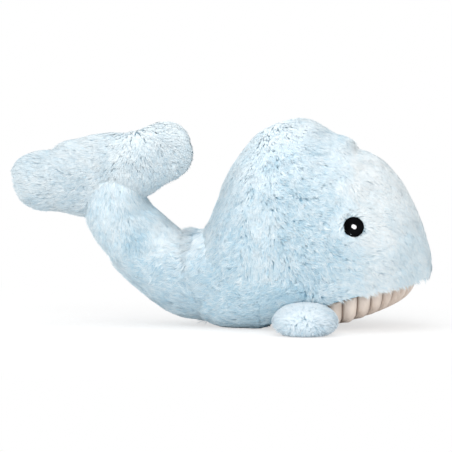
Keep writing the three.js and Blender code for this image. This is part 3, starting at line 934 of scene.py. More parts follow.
    def roots(self, net: Net, keep: Picker,
              rng: np.random.Generator) -> tuple[np.ndarray, np.ndarray]:
        """Spreads the wisps evenly over a net.

        Args:
            net: the form's surface.
            keep: tells which roots belong to the piece.
            rng: the scatter.

        Returns:
            The wisps' places and the normals there.
        """
        p, n = net.points, net.normals
        corner = [p[:-1, :-1], p[1:, :-1], p[1:, 1:], p[:-1, 1:]]
        facing = [n[:-1, :-1], n[1:, :-1], n[1:, 1:], n[:-1, 1:]]
        area = 0.5 * np.linalg.norm(
            np.cross(corner[2] - corner[0], corner[3] - corner[1]), axis=-1).ravel()
        total = np.cumsum(area)
        count = int(total[-1] * self.wisps)
        picks = (np.arange(count) + rng.uniform(0, 1, count)) / count * total[-1]
        cell = np.minimum(np.searchsorted(total, picks), len(total) - 1)
        u, v = rng.uniform(0, 1, (2, count, 1))
        def blend(values: list[np.ndarray]) -> np.ndarray:
            """Values between a cell's four corners."""
            a, b, c, d = (value.reshape(-1, 3)[cell] for value in values)
            return (a * (1 - u) + b * u) * (1 - v) + (d * (1 - u) + c * u) * v
        place, normal = blend(corner), unit(blend(facing))
        chosen = keep(place)
        return place[chosen], normal[chosen]

    def roughness(self, ruffle: np.ndarray) -> np.ndarray:
        """How strongly the pile is scattered where it is ruffled so far."""
        return self.rough[0] + self.rough[1] * ruffle

    def combed(self, place: np.ndarray, normal: np.ndarray, combing: Combing) -> Lie:
        """How the wisps lie before they are scattered."""
        return combing.at(place, normal)

    def lie(self, place: np.ndarray, normal: np.ndarray, combing: Combing,
            rng: np.random.Generator) -> Lie:
        """How the wisps lie with their scatter.

        Args:
            place: the wisps' places.
            normal: the normals there.
            combing: which way the pile lies.
            rng: the scatter.

        Returns:
            How each wisp lies.
        """
        lie = self.combed(place, normal, combing)
        stray = np.zeros(len(place))
        for seed, (size, smooth, ruffled) in enumerate(self.eddies, 3):
            stray += waves(place, size, seed) * (smooth + ruffled * lie.ruffle)
        smooth, ruffled = self.scattered
        stray += rng.normal(0, 1, len(place)) * (
            self.scatter * (smooth + ruffled * lie.ruffle) + self.whorl * (1 - lie.flat))
        side = np.cross(normal, lie.course)
        return lie._replace(course=lie.course * np.cos(stray)[:, None] + side * np.sin(stray)[:, None])

    @staticmethod
    def normals_at(net: Net, points: np.ndarray) -> np.ndarray:
        """Normals of a net at its points nearest to some places.

        Args:
            net: the net.
            points: places near it.

        Returns:
            A normal for each place.
        """
        flat = net.points.reshape(-1, 3)
        tree = kdtree.KDTree(len(flat))
        for number, point in enumerate(flat.tolist()):
            tree.insert(point, number)
        tree.balance()
        nearest = [tree.find(point)[1] for point in points.tolist()]
        return net.normals.reshape(-1, 3)[nearest]


@dataclass(frozen=True)
class PuffedPile(Pile):
    """Fluffy fur that is blown back all round from the tip of a flipper."""

    wisps: float = 0.85 / MM ** 2
    length: float = 9 * MM
    depth: float = 1.2 * MM
    drape: float = 0.3
    heart: FlipperForm = field(default_factory=FlipperForm)
    blown: tuple[float, float, float] = (0.08, 0.15, -0.75)      # forward, inwards and down
    level: float = 0.8                  # how far a direction lies along the surface where it reaches fully
    least: float = 0.4                  # how far the pile reaches elsewhere
    ruffle: float = 0.35
    tone: float = 0.75
    # Painted light: the pile is paler over the flipper's upper face than under it, as if lit from above.
    top_light: float = 0.5              # how much paler it is above than below
    puff_tones: tuple[float, float] = (0.35, 0.85)      # the least and the most

    def combed(self, place: np.ndarray, normal: np.ndarray, combing: Combing) -> Lie:
        """How the wisps lie before they are scattered, whatever the rest of the toy's combing is.

        Args:
            place: the wisps' places.
            normal: the normals there.
            combing: the rest of the toy's combing, which isn't followed here.

        Returns:
            How each wisp lies.
        """
        own = self.heart.own(place)
        over = own[:, 2] / self.heart.thickness
        away = np.stack([own[:, 0] / self.heart.chord * 2, 0 * over, over * 2], -1) + self.blown
        course = self.heart.turned(away)
        course = course - normal * dot(course, normal)
        flat = np.clip(np.linalg.norm(course, axis=1) / self.level, self.least, 1)
        # Painted light from above: paler towards the upper face.
        tone = np.clip(self.tone + self.top_light * over, *self.puff_tones)
        return Lie(unit(course), np.full(len(place), self.ruffle), tone, flat)


# Finishes

Socket = bpy.types.NodeSocket


class Graph:
    """Adds nodes to a node tree and joins them."""

    def __init__(self, tree: bpy.types.NodeTree) -> None:
        """Starts on an emptied tree."""
        self.tree = tree
        tree.nodes.clear()

    def add(self, kind: str, settings: dict | None = None, inputs: dict | None = None) -> bpy.types.Node:
        """Adds a node.

        Args:
            kind: the node's type.
            settings: its properties.
            inputs: values or sockets for its inputs, by name or number.

        Returns:
            The node.
        """
        node = self.tree.nodes.new(kind)
        for key, value in (settings or {}).items():
            setattr(node, key, value)
        for key, value in (inputs or {}).items():
            socket = node.inputs[key]
            if isinstance(value, bpy.types.NodeSocket):
                self.tree.links.new(value, socket)
            else:
                socket.default_value = value
        return node

    def mixed(self, share: Socket | float, first: Socket | tuple, second: Socket | tuple) -> Socket:
        """Mixes two colours and returns the result."""
        node = self.add("ShaderNodeMix", {"data_type": "RGBA"}, {0: share, 6: first, 7: second})
        return node.outputs[2]

    def ranged(self, value: Socket, low: Socket | float, high: Socket | float) -> Socket:
        """Stretches a value so that low gives 0 and high gives 1, smoothly."""
        return self.add("ShaderNodeMapRange", {"interpolation_type": "SMOOTHSTEP"}, {
            "Value": value, "From Min": low, "From Max": high}).outputs["Result"]

    def math(self, operation: str, *values: Socket | float) -> Socket:
        """One step of arithmetic."""
        node = self.add("ShaderNodeMath", {"operation": operation}, dict(enumerate(values)))
        return node.outputs[0]


def group(name: str, inputs: dict[str, tuple[str, float | tuple]], outputs: dict[str, str],
          fill: Callable[[Graph, bpy.types.Node], dict[str, Socket]]) -> bpy.types.NodeTree:
    """Builds a shader node group, or finds it if it is built already.

    Args:
        name: the group's name.
        inputs: for each input its kind and usual value.
        outputs: for each output its kind.
        fill: adds the nodes and returns what feeds each output.

    Returns:
        The group.
    """
    if name in bpy.data.node_groups:
        return bpy.data.node_groups[name]
    kinds = {"value": "NodeSocketFloat", "colour": "NodeSocketColor", "vector": "NodeSocketVector"}
    tree = bpy.data.node_groups.new(name, "ShaderNodeTree")
    graph = Graph(tree)
    for label, (kind, usual) in inputs.items():
        socket = tree.interface.new_socket(label, in_out="INPUT", socket_type=kinds[kind])
        socket.default_value = usual
    for label, kind in outputs.items():
        tree.interface.new_socket(label, in_out="OUTPUT", socket_type=kinds[kind])
    source = graph.add("NodeGroupInput")
    graph.add("NodeGroupOutput", inputs=fill(graph, source))
    return tree


def strand_shade() -> bpy.types.NodeTree:
    """The group that shades a strand from its root to its tip, and from deep to pale.

    Returns:
        The group.
    """
    def fill(graph: Graph, source: bpy.types.Node) -> dict[str, Socket]:
        """Mixes the four colours by the strand map.

        Args:
            graph: the group's nodes.
            source: the group's inputs.

        Returns:
            What feeds each output.
        """
        split = graph.add("ShaderNodeSeparateXYZ", inputs={0: source.outputs["Strand"]})
        rise = graph.ranged(split.outputs["X"], 0.0, source.outputs["Tipped"])
        deep = graph.mixed(rise, source.outputs["Root Deep"], source.outputs["Tip Deep"])
        pale = graph.mixed(rise, source.outputs["Root Pale"], source.outputs["Tip Pale"])
        return {"Color": graph.mixed(split.outputs["Y"], deep, pale)}
    grey = (0.5, 0.5, 0.5, 1.0)
    return group("strand_shade", {
        "Strand": ("vector", (0.0, 0.0, 0.0)), "Tipped": ("value", 0.7),
        "Root Deep": ("colour", grey), "Root Pale": ("colour", grey),
        "Tip Deep": ("colour", grey), "Tip Pale": ("colour", grey)}, {"Color": "colour"}, fill)


def mottle() -> bpy.types.NodeTree:
    """The group that clouds a surface between two colours.

    Returns:
        The group.
    """
    def fill(graph: Graph, source: bpy.types.Node) -> dict[str, Socket]:
        """Reads a noise through the object's own space.

        Args:
            graph: the group's nodes.
            source: the group's inputs.

        Returns:
            What feeds each output.
        """
        where = graph.add("ShaderNodeTexCoord").outputs["Object"]
        noise = graph.add("ShaderNodeTexNoise", inputs={
            "Vector": where, "Scale": source.outputs["Scale"], "Detail": 4.0}).outputs["Fac"]
        mask = graph.ranged(noise, 0.3, 0.7)
        return {"Mask": mask, "Color": graph.mixed(mask, source.outputs["Low"], source.outputs["High"])}
    grey = (0.5, 0.5, 0.5, 1.0)
    return group("mottle", {"Scale": ("value", 100.0), "Low": ("colour", grey), "High": ("colour", grey)},
                 {"Mask": "value", "Color": "colour"}, fill)


def weave() -> bpy.types.NodeTree:
    """The group that gives the height of crossing threads.

    Returns:
        The group.
    """
    def fill(graph: Graph, source: bpy.types.Node) -> dict[str, Socket]:
        """Crosses two sets of threads and roughens them.

        Args:
            graph: the group's nodes.
            source: the group's inputs.

        Returns:
            What feeds each output.
        """
        where = graph.add("ShaderNodeTexCoord").outputs["Object"]
        split = graph.add("ShaderNodeSeparateXYZ", inputs={0: where})
        x, y, z = (split.outputs[k] for k in "XYZ")
        pitch = source.outputs["Threads"]
        first = graph.math("SINE", graph.math("MULTIPLY", graph.math("ADD", x, y), pitch))
        second = graph.math("SINE", graph.math("MULTIPLY", z, pitch))
        crossed = graph.math("MAXIMUM", first, second)
        fuzz = graph.add("ShaderNodeTexNoise", inputs={
            "Vector": where, "Scale": pitch, "Detail": 3.0}).outputs["Fac"]
        height = graph.math("MULTIPLY_ADD", fuzz, source.outputs["Fuzz"], crossed)
        return {"Height": height}
    return group("weave", {"Threads": ("value", 4000.0), "Fuzz": ("value", 1.0)}, {"Height": "value"}, fill)


@dataclass(frozen=True)
class Finish:
    """A surface finish of its own name, roughness and sheen."""

    name: str
    roughness: float = 0.9
    sheen: float = 0.0
    bump: float = 0.0             # depth of its relief, in metres
    shine: float = 0.1

    def paint(self, graph: Graph) -> tuple[Socket, Socket | None]:
        """Adds the nodes of the finish and returns its colour and its relief, if it has one."""
        raise NotImplementedError

    def material(self) -> bpy.types.Material:
        """The material, built once.

        Returns:
            The material.
        """
        if self.name in bpy.data.materials:
            return bpy.data.materials[self.name]
        made = bpy.data.materials.new(self.name)
        made.use_nodes = True
        graph = Graph(made.node_tree)
        colour, relief = self.paint(graph)
        surface = graph.add("ShaderNodeBsdfPrincipled", inputs={
            "Base Color": colour, "Roughness": self.roughness, "Sheen Weight": self.sheen,
            "Sheen Roughness": 0.45, "Specular IOR Level": self.shine})
        if relief is not None:
            bump = graph.add("ShaderNodeBump", inputs={
                "Height": relief, "Distance": self.bump, "Strength": 1.0})
            graph.tree.links.new(bump.outputs["Normal"], surface.inputs["Normal"])
        graph.add("ShaderNodeOutputMaterial", inputs={"Surface": surface.outputs["BSDF"]})
        return made


Colour = tuple[float, float, float, float]


@dataclass(frozen=True)
class PileFinish(Finish):
    """Fur strands, deeper at their roots."""

    roughness: float = 0.75
    sheen: float = 0.2
    root_deep: Colour = srgb(122, 184, 216)
    root_pale: Colour = srgb(204, 229, 240)
    tip_deep: Colour = srgb(187, 218, 232)
    tip_pale: Colour = srgb(244, 251, 254)
    tipped: float = 0.85

    def paint(self, graph: Graph) -> tuple[Socket, Socket | None]:
        """Shades the strands by their map.

        Args:
            graph: the material's nodes.

        Returns:
            Its colour, and no relief.
        """
        strand = graph.add("ShaderNodeUVMap", {"uv_map": "strand"})
        shade = graph.add("ShaderNodeGroup", {"node_tree": strand_shade()}, {
            "Strand": strand.outputs["UV"], "Tipped": self.tipped,
            "Root Deep": self.root_deep, "Root Pale": self.root_pale,
            "Tip Deep": self.tip_deep, "Tip Pale": self.tip_pale})
        return shade.outputs["Color"], None


@dataclass(frozen=True)
class ClothFinish(Finish):
    """Knitted or woven cloth with a little clouding."""

    low: Colour = srgb(160, 206, 228)
    high: Colour = srgb(190, 224, 238)
    clouds: float = 120.0
    threads: float = 5000.0

    def paint(self, graph: Graph) -> tuple[Socket, Socket | None]:
        """Clouds the colour and lays the threads.

        Args:
            graph: the material's nodes.

        Returns:
            Its colour and its relief.
        """
        clouding = graph.add("ShaderNodeGroup", {"node_tree": mottle()}, {
            "Scale": self.clouds, "Low": self.low, "High": self.high})
        threads = graph.add("ShaderNodeGroup", {"node_tree": weave()}, {
            "Threads": self.threads, "Fuzz": 1.5})
        return clouding.outputs["Color"], threads.outputs["Height"]


@dataclass(frozen=True)
class RibbedFinish(ClothFinish):
    """Beige cloth sewn in ribs, with painted shade in its creases."""

    # Painted shade: the cloth darkens towards each crease between the ribs.
    crease: Colour = srgb(140, 120, 108)
    crease_width: float = 0.4     # on the map, where a rib's middle is at 1

    def paint(self, graph: Graph) -> tuple[Socket, Socket | None]:
        """Paints shade into the creases that the ribs map marks.

        Args:
            graph: the material's nodes.

        Returns:
            Its colour and its relief.
        """
        colour, relief = super().paint(graph)
        ribs = graph.add("ShaderNodeUVMap", {"uv_map": "ribs"})
        split = graph.add("ShaderNodeSeparateXYZ", inputs={0: ribs.outputs["UV"]})
        # Painted shade fills each crease and fades out across the rib.
        unshaded_cloth = graph.ranged(split.outputs["X"], 0.0, self.crease_width)
        return graph.mixed(unshaded_cloth, self.crease, colour), relief


PILE = PileFinish("long_pile")
# Painted light: the forehead's pile is paler than the flank's, where the forehead faces the lamps.
FOREHEAD_PILE = PileFinish("forehead_pile", root_deep=srgb(150, 196, 220), root_pale=srgb(214, 232, 240),
                           tip_deep=srgb(198, 222, 233), tip_pale=srgb(244, 248, 249))
# Painted shade: the fluke, tail and flipper copies of the pile have darker, greyer tips than the flank's,
# to offset how brightly the lamps light those parts.
FLUKE_PILE = PileFinish("fluke_pile", root_deep=srgb(134, 184, 210), root_pale=srgb(206, 228, 238),
                        tip_deep=srgb(180, 205, 218), tip_pale=srgb(237, 243, 245))
TAIL_PILE = PileFinish("tail_pile", tip_deep=srgb(183, 213, 227), tip_pale=srgb(239, 246, 249))
FLIPPER_PILE = PileFinish("flipper_pile", root_deep=srgb(142, 192, 218), root_pale=srgb(200, 224, 236),
                          tip_deep=srgb(168, 196, 212), tip_pale=srgb(220, 230, 236))
BACKING = ClothFinish("fur_backing", bump=0.1 * MM)
RIBBED = RibbedFinish("ribbed_beige_cloth", roughness=0.85, sheen=0.15, bump=0.06 * MM,
                      low=srgb(212, 197, 185), high=srgb(231, 218, 207), clouds=60.0)
FIBRE = ClothFinish("white_fibre", bump=0.5 * MM, low=srgb(226, 226, 222), high=srgb(244, 244, 240),
                    clouds=200.0, threads=1500.0)
EYE_CLOTH = ClothFinish("woven_black_cloth", roughness=0.95, bump=0.08 * MM, shine=0.02, low=srgb(6, 6, 7),
                        high=srgb(17, 17, 19), threads=6500.0)
EYE_THREAD = ClothFinish("white_thread", roughness=0.6, bump=0.04 * MM, low=srgb(238, 236, 238),
                         high=srgb(250, 248, 250), threads=9000.0)


# The toy's parts

BODY_FORM = BodyForm()
TAIL_FORM = TailForm()
FLUKE_FORM = FlukeForm()
FLIPPER_FORMS = {side: FlipperForm(side=side) for side in Side}
OVERLAP = 9 * MM              # how far one cloth runs on inside another form
CLOTH = 0.8 * MM              # how thick the fur cloth is without its pile
BACKING_DEPTH = 1.7 * MM      # how far the cloth lies under the form's surface
LUMP = 0.6 * MM               # height of the lumps in a filling
LUMP_SIZE = 14 * MM
MIDDLE = -1e-9                # least way to a side of the middle plane that counts as on that side


@dataclass
class Piece:
    """One sewn piece: a cloth with its pile, standing for a panel of the frame."""

    name: str
    node: str
    slot: str
    pile: Pile
    finish: PileFinish
    seed: int

    def sew(self, net: Net, keep: Picker, furred: Picker, combing: Combing) -> list[bpy.types.Object]:
        """Makes the cloth and its pile.

        Args:
            net: the form's surface.
            keep: tells which points of the net belong to the piece.
            furred: tells where strands may root.
            combing: which way the pile lies.

        Returns:
            The cloth and the bands of its pile.
        """
        height = combing.lofted(net.points.reshape(-1, 3)).reshape(*net.points.shape[:2], 1)
        net = net.inset(-height)
        lining = skin(net.inset(BACKING_DEPTH), keep, CLOTH)
        cloth = lining.build(f"{self.name}_cloth", BACKING.material())
        bands = self.pile.grow(net, lambda p: keep(p) & furred(p), combing, self.seed)
        ends = [f"_{number}" for number in range(1, len(bands) + 1)] if len(bands) > 1 else [""]
        piles = [band.build(f"{self.name}_pile{end}", self.finish.material())
                 for band, end in zip(bands, ends)]
        for piece in (cloth, *piles):
            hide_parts(self.node)
            log.info("%s: %d faces", piece.name, len(piece.data.polygons))
        return [cloth, *piles]


def fill_with(name: str, node: str, body: str, parts: Parts) -> bpy.types.Object:
    """Makes a fibre filling inside a skin.

    Args:
        name: the piece's name.
        node: the frame's node that it stands for.
        body: the body that it rides on.
        parts: its closed form.

    Returns:
        The filling.
    """
    parts.points += unit(parts.points - parts.points.mean(0)) * (
        LUMP * waves(parts.points, LUMP_SIZE, 11)[:, None])
    filling = parts.build(name, FIBRE.material())
    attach(filling, body)
    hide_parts(node)
    log.info("%s: %d faces", name, len(filling.data.polygons))
    return filling


def closed(net: Net) -> Parts:
    """A net as parts, with the gap between its first and last column bridged.

    Args:
        net: the net of a closed form.

    Returns:
        The parts.
    """
    rows, columns = net.points.shape[:2]
    number = np.arange(rows * columns).reshape(rows, columns)
    bridge = np.stack([number[:-1, -1], number[1:, -1], number[1:, 0], number[:-1, 0]], -1)
    return Parts(net.points.reshape(-1, 3), np.concatenate([net.faces(), bridge]))


@dataclass
class HeadAndBody:
    """Head and body: two side panels, the forehead gusset between them and the filling."""

    crown_seam: tuple[float, float, float] = (102.882 * MM, 0.0, 155.97 * MM)
    seam_facing: tuple[float, float, float] = (0.99096, 0.01158, 0.13364)
    rows: int = 150
    columns: int = 171
    seed: int = 21
    gusset_seed: int = 31
    gusset_rise: float = 1.8 * MM         # of its pile
    gusset_overlap: float = 1.5 * MM      # how far it runs on behind the seam
    tail_margin: float = 6 * MM           # how far inside the other forms strands still root
    flipper_margin: float = 5 * MM
    eye_margin: float = 1.2 * MM
    lip_margin: float = 3 * MM            # how far over the lip they start
    filling_inset: float = 9 * MM
    filling_net: tuple[int, int] = (48, 65)

    def ahead_of_seam(self, points: np.ndarray) -> np.ndarray:
        """How far each point lies in front of the seam round the forehead.

        Args:
            points: places on the head.

        Returns:
            Metres ahead of the seam, less than 0 behind it.
        """
        folded = points.copy()
        folded[..., 1] = -np.abs(points[..., 1])
        return (folded - self.crown_seam) @ np.array(self.seam_facing)

    def furred(self, points: np.ndarray) -> np.ndarray:
        """Where strands may root: not in the tail, a flipper or an eye, nor under the lip.

        Args:
            points: places on the form.

        Returns:
            True where a strand may root.
        """
        free = ~TAIL_FORM.holds(points, self.tail_margin)
        for side in Side:
            free &= ~FLIPPER_FORMS[side].holds(points, self.flipper_margin)
            free &= np.linalg.norm(points - Eye(side).place, axis=-1) > Eye(side).radius - self.eye_margin
        return free & (points[..., 2] > BODY_FORM.lip_height(points[..., 0]) + self.lip_margin)

    def build(self, combing: Combing) -> None:
        """Makes the panels, the gusset and the filling.

        Args:
            combing: which way the pile lies.
        """
        net = BODY_FORM.net(self.rows, self.columns)
        for side in Side:
            piece = Piece(f"{side.word}_side", f"{side.word}_side_panel", "flank_fur",
                          Pile(), PILE, self.seed + side.value)
            def keep(points: np.ndarray) -> np.ndarray:
                """The panel's points."""
                own = points[..., 1] * side.value > MIDDLE
                return own & (self.ahead_of_seam(points) < 0) & ~TAIL_FORM.holds(points, OVERLAP)
            for made in piece.sew(net, keep, self.furred, combing):
                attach(made, BODY)
        gusset = Piece("forehead", "forehead_gusset", "forehead_fur",
                       Pile(rise=self.gusset_rise), FOREHEAD_PILE, self.gusset_seed)
        for made in gusset.sew(net, lambda p: self.ahead_of_seam(p) > -self.gusset_overlap,
                               self.furred, combing):
            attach(made, BODY)
        small = BODY_FORM.net(*self.filling_net)
        heart = BODY_FORM.heart(small.points)
        size = np.array([BODY_FORM.length, BODY_FORM.width, BODY_FORM.height])
        small.points = heart + (small.points - heart) * (1 - 2 * self.filling_inset / size)
        fill_with("body_filling", "body_stuffing", BODY, closed(small))


@dataclass
class Belly:
    """The bowl of ribbed cloth, cut along the lip."""

    rows: int = 30
    steps_to_a_rib: int = 10
    tuck: float = 5 * MM          # how far the cloth runs on above the lip seam
    thickness: float = 1.2 * MM

    def build(self) -> None:
        """Makes the ribbed cloth."""
        form = BellyForm()
        columns = form.ribs * self.steps_to_a_rib + 1
        net = form.net(self.rows, columns)
        turn = np.linspace(0, 2 * np.pi, columns)
        # The ribs map marks where painted shade darkens each crease.
        cushion = np.abs(np.sin(form.ribs * turn / 2))
        ribs = np.stack(np.meshgrid(np.linspace(0, 1, self.rows), cushion, indexing="ij")[::-1], -1)
        inside = 0.02 + 0.96 * ribs      # clear of the map's edges
        parts = skin(net, lambda p: (p[..., 2] < BODY_FORM.lip_height(p[..., 0]) + self.tuck)
                     | (p[..., 2] < self.tuck), self.thickness, {"ribs": inside})
        belly = parts.build("ribbed_belly", RIBBED.material())
        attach(belly, BODY)
        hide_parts("belly_panel")
        log.info("ribbed_belly: %d faces", len(belly.data.polygons))


@dataclass
class Tail:
    """Tail stock: right and left halves round a filling, bending into the fluke."""

    rows: int = 90
    columns: int = 121
    end: float = 0.96             # where the cloth ends inside the fluke, as a share of the form
    seed: int = 41
    pile_length: float = 11.5 * MM
    body_margin: float = 5 * MM   # how far inside the other forms strands still root
    fluke_margin: float = 3 * MM
    filling_inset: float = 9 * MM
    filling_net: tuple[int, int, float, float] = (40, 33, 0.05, 0.86)

    def build(self, combing: Combing) -> None:
        """Makes both halves and the filling.

        Args:
            combing: which way the pile lies.
        """
        net = TAIL_FORM.net(self.rows, self.columns, end=self.end)
        for side in Side:
            piece = Piece(f"{side.word}_tail", f"{side.word}_tail_panel", "flank_fur",
                          Pile(length=self.pile_length), TAIL_PILE, self.seed + side.value)
            def keep(points: np.ndarray) -> np.ndarray:
                """The half's points."""
                own = points[..., 1] * side.value > MIDDLE
                return own & ~BODY_FORM.holds(points, OVERLAP) & ~FLUKE_FORM.holds(points, OVERLAP)
            def furred(points: np.ndarray) -> np.ndarray:
                """Where strands may root."""
                return (~BODY_FORM.holds(points, self.body_margin)
                        & ~FLUKE_FORM.holds(points, self.fluke_margin))
            for made in piece.sew(net, keep, furred, combing):
                bend_into_fluke(made)
        inner = TailForm(knots=TAIL_FORM.knots - np.array([0, 0, 1, 1]) * self.filling_inset)
        fill_with("tail_filling", "tail_stuffing", BODY, closed(inner.net(*self.filling_net)))


def bend_into_fluke(piece: bpy.types.Object) -> None:
    """Bakes a piece's placement into its mesh."""
    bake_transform(piece)


@dataclass
class Fluke:
    """Fluke: front and back cloth of both lobes round a filling."""

    rows: int = 150
    columns: int = 97
    seed: int = 51
    pile_rise: float = 2.4 * MM
    tail_margin: float = 6 * MM   # how far inside the tail strands still root
    filling_inset: float = 8.5 * MM
    filling_net: tuple[int, int] = (60, 33)

    def build(self, combing: Combing) -> None:
        """Makes both faces and the filling.

        Args:
            combing: which way the pile lies.
        """
        net = FLUKE_FORM.net(self.rows, self.columns)
        for side in Side:
            piece = Piece(f"fluke_{side.word}", f"fluke_{side.word}_panel", "flank_fur",
                          Pile(rise=self.pile_rise), FLUKE_PILE, self.seed + side.value)
            def keep(points: np.ndarray) -> np.ndarray:
                """The face's points."""
                return (points[..., 1] * side.value > MIDDLE) & ~TAIL_FORM.holds(points, OVERLAP)
            def furred(points: np.ndarray) -> np.ndarray:
                """Where strands may root."""
                return ~TAIL_FORM.holds(points, self.tail_margin)
            for made in piece.sew(net, keep, furred, combing):
                bend_into_fluke(made)
        form, inset = FLUKE_FORM, self.filling_inset
        inner = FlukeForm(half_span=form.half_span - inset, chord=form.chord - 2 * inset,
                          thickness=form.thickness - 2 * inset,
                          seam=form.seam + form.upward * inset)
        fill_with("fluke_filling", "fluke_stuffing", FLUKE, closed(inner.net(*self.filling_net)))


@dataclass
class Flipper:
    """One flipper: upper and lower cloth round a filling, sewn to the flank."""

    side: Side
    rows: int = 70
    columns: int = 97
    seed: int = 61
    body_margin: float = 3 * MM   # how far inside the body strands still root
    filling_inset: float = 8 * MM
    filling_net: tuple[int, int] = (30, 25)

    @property
    def form(self) -> FlipperForm:
        """The flipper's form."""
        return FLIPPER_FORMS[self.side]

    def build(self, combing: Combing) -> None:
        """Makes both layers and the filling.

        Args:
            combing: which way the pile lies.
        """
        body = f"{self.side.word}_flipper"
        net = self.form.net(self.rows, self.columns)
        for layer, over in (("top", 1), ("bottom", -1)):
            name = f"{body}_{layer}"
            piece = Piece(name, name, "flipper_fur", PuffedPile(heart=self.form), FLIPPER_PILE,
                          self.seed + over + 5 * self.side.value)
            def keep(points: np.ndarray) -> np.ndarray:
                """The layer's points."""
                return self.form.own(points)[..., 2] * over > MIDDLE
            def furred(points: np.ndarray) -> np.ndarray:
                """Where strands may root."""
                return ~BODY_FORM.holds(points, self.body_margin)
            for made in piece.sew(net, keep, furred, combing):
                self.bend(made)
        form, inset = self.form, self.filling_inset
        inner = FlipperForm(side=self.side, length=form.length - 2 * inset, root=form.root - inset,
                            chord=form.chord - 2 * inset, thickness=form.thickness - 2 * inset)
        fill_with(f"{body}_filling", f"{body}_stuffing", body, closed(inner.net(*self.filling_net)))

    def bend(self, piece: bpy.types.Object) -> None:
        """Bakes a piece's placement into its mesh; the flipper's outward direction and seam are worked out
        but not used.

        Args:
            piece: a cloth or its pile.
        """
        outward = self.form.turned(np.array([[0, -1.0, 0]]))[0]
        seam = self.form.placed(np.zeros((1, 3)))[0]
        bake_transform(piece)


